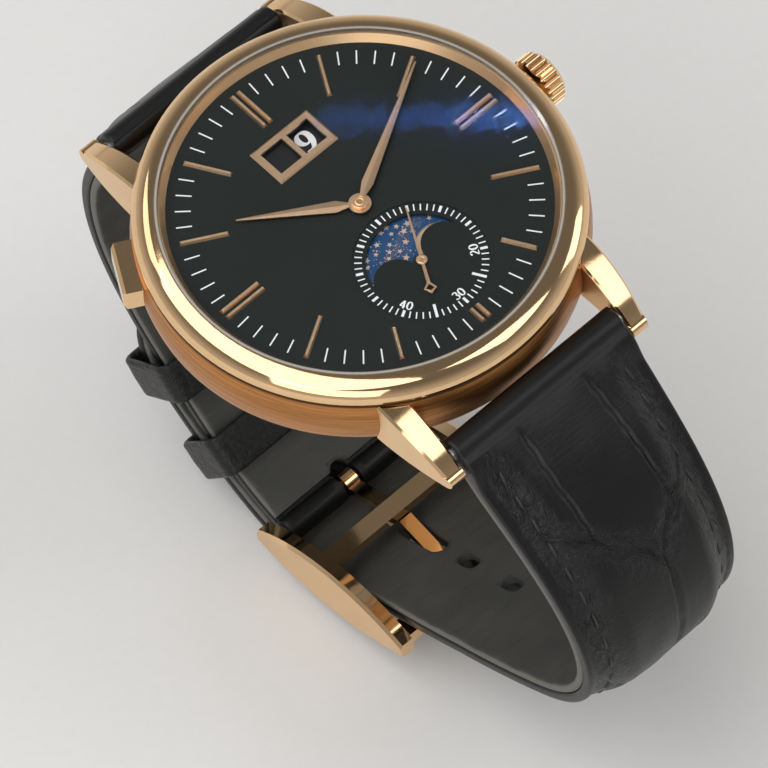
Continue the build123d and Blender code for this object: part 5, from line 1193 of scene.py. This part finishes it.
def loop_path(half_x, low, high, corner, count=96):
    """Places and outward directions on a rounded rectangle, evenly spread along its runs and arcs."""
    right, top, foot = half_x - corner, high - corner, low + corner
    turn = np.radians(np.linspace(0, 90, 10))
    corners = [
        centre + corner * np.stack([np.cos(turn + k * np.pi / 2), np.sin(turn + k * np.pi / 2)], 1)
        for k, centre in enumerate(np.array([(right, top), (-right, top), (-right, foot), (right, foot)]))
    ]
    line = np.concatenate(corners + [corners[0][:1]])
    length = np.r_[0, np.cumsum(np.hypot(*np.diff(line, axis=0).T))]
    at = np.linspace(0, length[-1], count, endpoint=False)
    path = np.stack([np.interp(at, length, line[:, 0]), np.interp(at, length, line[:, 1])], 1)
    run = np.roll(path, -1, 0) - np.roll(path, 1, 0)
    run /= np.linalg.norm(run, axis=1)[:, None]
    return path, np.stack([run[:, 1], -run[:, 0]], 1)


for name, share, seat, body in (
    ("fixed_keeper", 0.84, 1.753, "case"),
    ("free_keeper", 0.69, 2.256, "sliding_keeper"),
):
    middle, run = (found[0] for found in seam_line(SHORT_SEAM, np.array([share])))
    side = float(half_width(middle[1] + 2.1)) + 0.35
    high = seat + TAIL_ROOM + KEEPER_MIDDLE
    path, outward = loop_path(side + KEEPER_MIDDLE, KEEPER_FLOOR - KEEPER_MIDDLE, high, 0.8)
    turn = round_turn(20)
    band = KEEPER_HALF_BAND * np.sign(np.cos(turn)) * np.abs(np.cos(turn)) ** 0.35
    swell = KEEPER_HALF_THICK * np.sign(np.sin(turn)) * np.abs(np.sin(turn)) ** 0.55
    swell = swell * (1 - 0.12 * bell(np.abs(band) - KEEPER_LINE, 0.16))
    x = path[:, :1] + outward[:, :1] * swell
    off = path[:, 1:] + outward[:, 1:] * swell
    y = middle[0] - run[1] * off + run[0] * band
    z = middle[1] + run[0] * off + run[1] * band
    keeper = add_piece(name + "_leather", tube(np.stack([x, y, z], 2)), leather, body, smooth=True)
    guide = np.stack([band + 0 * x, path[:, 1:] + 3 * path[:, :1] + 0 * x, 0.35 + 0 * x], 2)
    folds = np.stack([9 + 0 * x, 2 - np.abs(band) + 0 * x, 0 * x], 2)
    add_guides(keeper, {"leather_guide": guide, "leather_folds": folds})
    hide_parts(name)


# Studio: a pale matte floor that the strap stands on and that is clear from below, a pale surround,
# five soft boxes, and two thin window lamps that the upper crystal mirrors.
FLOOR_HEIGHT = -47.95
FLOOR_RADIUS = 1500

floor_finish, place = begin_finish("floor_paper")
tint = place.noise(0.9, 4.0, 0.6).shade((0.74, 0.73, 0.715), (0.78, 0.77, 0.755))
sockets = {"Base Color": tint, "Roughness": 0.85, "Specular IOR Level": 0.2}
paper = place.node("ShaderNodeBsdfPrincipled", {}, sockets)
through = place.node("ShaderNodeBsdfTransparent", {}, {})
behind = place.node("ShaderNodeNewGeometry", {}, {}, "Backfacing")
cover(place.node("ShaderNodeMixShader", {}, {0: behind, 1: paper, 2: through}))

turn = round_turn(64)
disc = np.stack([FLOOR_RADIUS * np.cos(turn), FLOOR_RADIUS * np.sin(turn), np.full(64, FLOOR_HEIGHT)], 1)
made_object("floor", (disc, [range(64)]), floor_finish)

scene = bpy.context.scene
scene.view_settings.view_transform = "Standard"
scene.world = bpy.data.worlds.new("studio")
scene.world.use_nodes = True
scene.world.node_tree.nodes.clear()
sky = Wire(scene.world.node_tree)
height = sky.node("ShaderNodeTexCoord", {}, {}, "Generated").axes()[2]
surround = height.between(-0.1, 0.75).shade((0.54, 0.54, 0.54), (0.16, 0.16, 0.16))
glow = sky.node("ShaderNodeBackground", {}, {"Color": surround, "Strength": 1.0})
sky.node("ShaderNodeOutputWorld", {}, {"Surface": glow}, None)


def standing(right, up, back, spot):
    """The matrix of a lamp or camera from its own right, up and back directions and its place."""
    return Matrix(np.column_stack([right, up, back, spot]).tolist() + [[0, 0, 0, 1]])


def soft_box(name, spot, size, power, aim=(0, 0, 0)):
    """An oblong soft lamp that faces a place; the spot and the aim are in metres."""
    light = bpy.data.lights.new(name, "AREA")
    light.shape = "RECTANGLE"
    light.size, light.size_y = size
    light.energy = power
    away = np.array(spot) - aim
    away /= np.linalg.norm(away)
    side = np.cross((0, 0, 1), away)
    side /= np.linalg.norm(side)
    lamp = bpy.data.objects.new(name, light)
    lamp.matrix_world = standing(side, np.cross(away, side), away, spot)
    scene.collection.objects.link(lamp)


soft_box("overhead_box", (-0.43, 0.10, 0.92), (1.36, 1.04), 9.0, (-0.1, 0, 0))
soft_box("left_box", (-0.90, -0.56, 0.54), (0.9, 0.62), 3.1)
soft_box("front_box", (0.36, -0.46, 0.88), (0.42, 0.55), 1.5)
soft_box("side_box", (0.85, -0.35, 0.35), (0.3, 0.5), 0.9, (0, 0, -0.02))
soft_box("rear_box", (-0.25, 1.05, 0.95), (0.6, 0.5), 1.4)
soft_box("window_box", (0.400, 0.438, 0.92), (0.058, 0.0025), 0.013)
soft_box("window_pane", (0.409, 0.429, 0.92), (0.032, 0.0025), 0.013)


# Camera: where the photograph was taken from, with a long lens. Its place is in metres, and the three
# directions are of length one.
EYE = (-0.293455, -0.345501, 0.727107)
AHEAD = np.array((0.33613, 0.39356, -0.85564))
RIGHT = np.array((0.72862, -0.68432, -0.02853))
DOWN = np.array((-0.59676, -0.61385, -0.51678))
FOCAL_LENGTH = 457.2
SENSOR_WIDTH = 36.0

lens = bpy.data.cameras.new("camera")
lens.lens, lens.sensor_width = FOCAL_LENGTH, SENSOR_WIDTH
lens.clip_start, lens.clip_end = 0.05, 10.0
camera = bpy.data.objects.new("camera", lens)
camera.matrix_world = standing(RIGHT, -DOWN, -AHEAD, EYE)
scene.collection.objects.link(camera)
scene.camera = camera
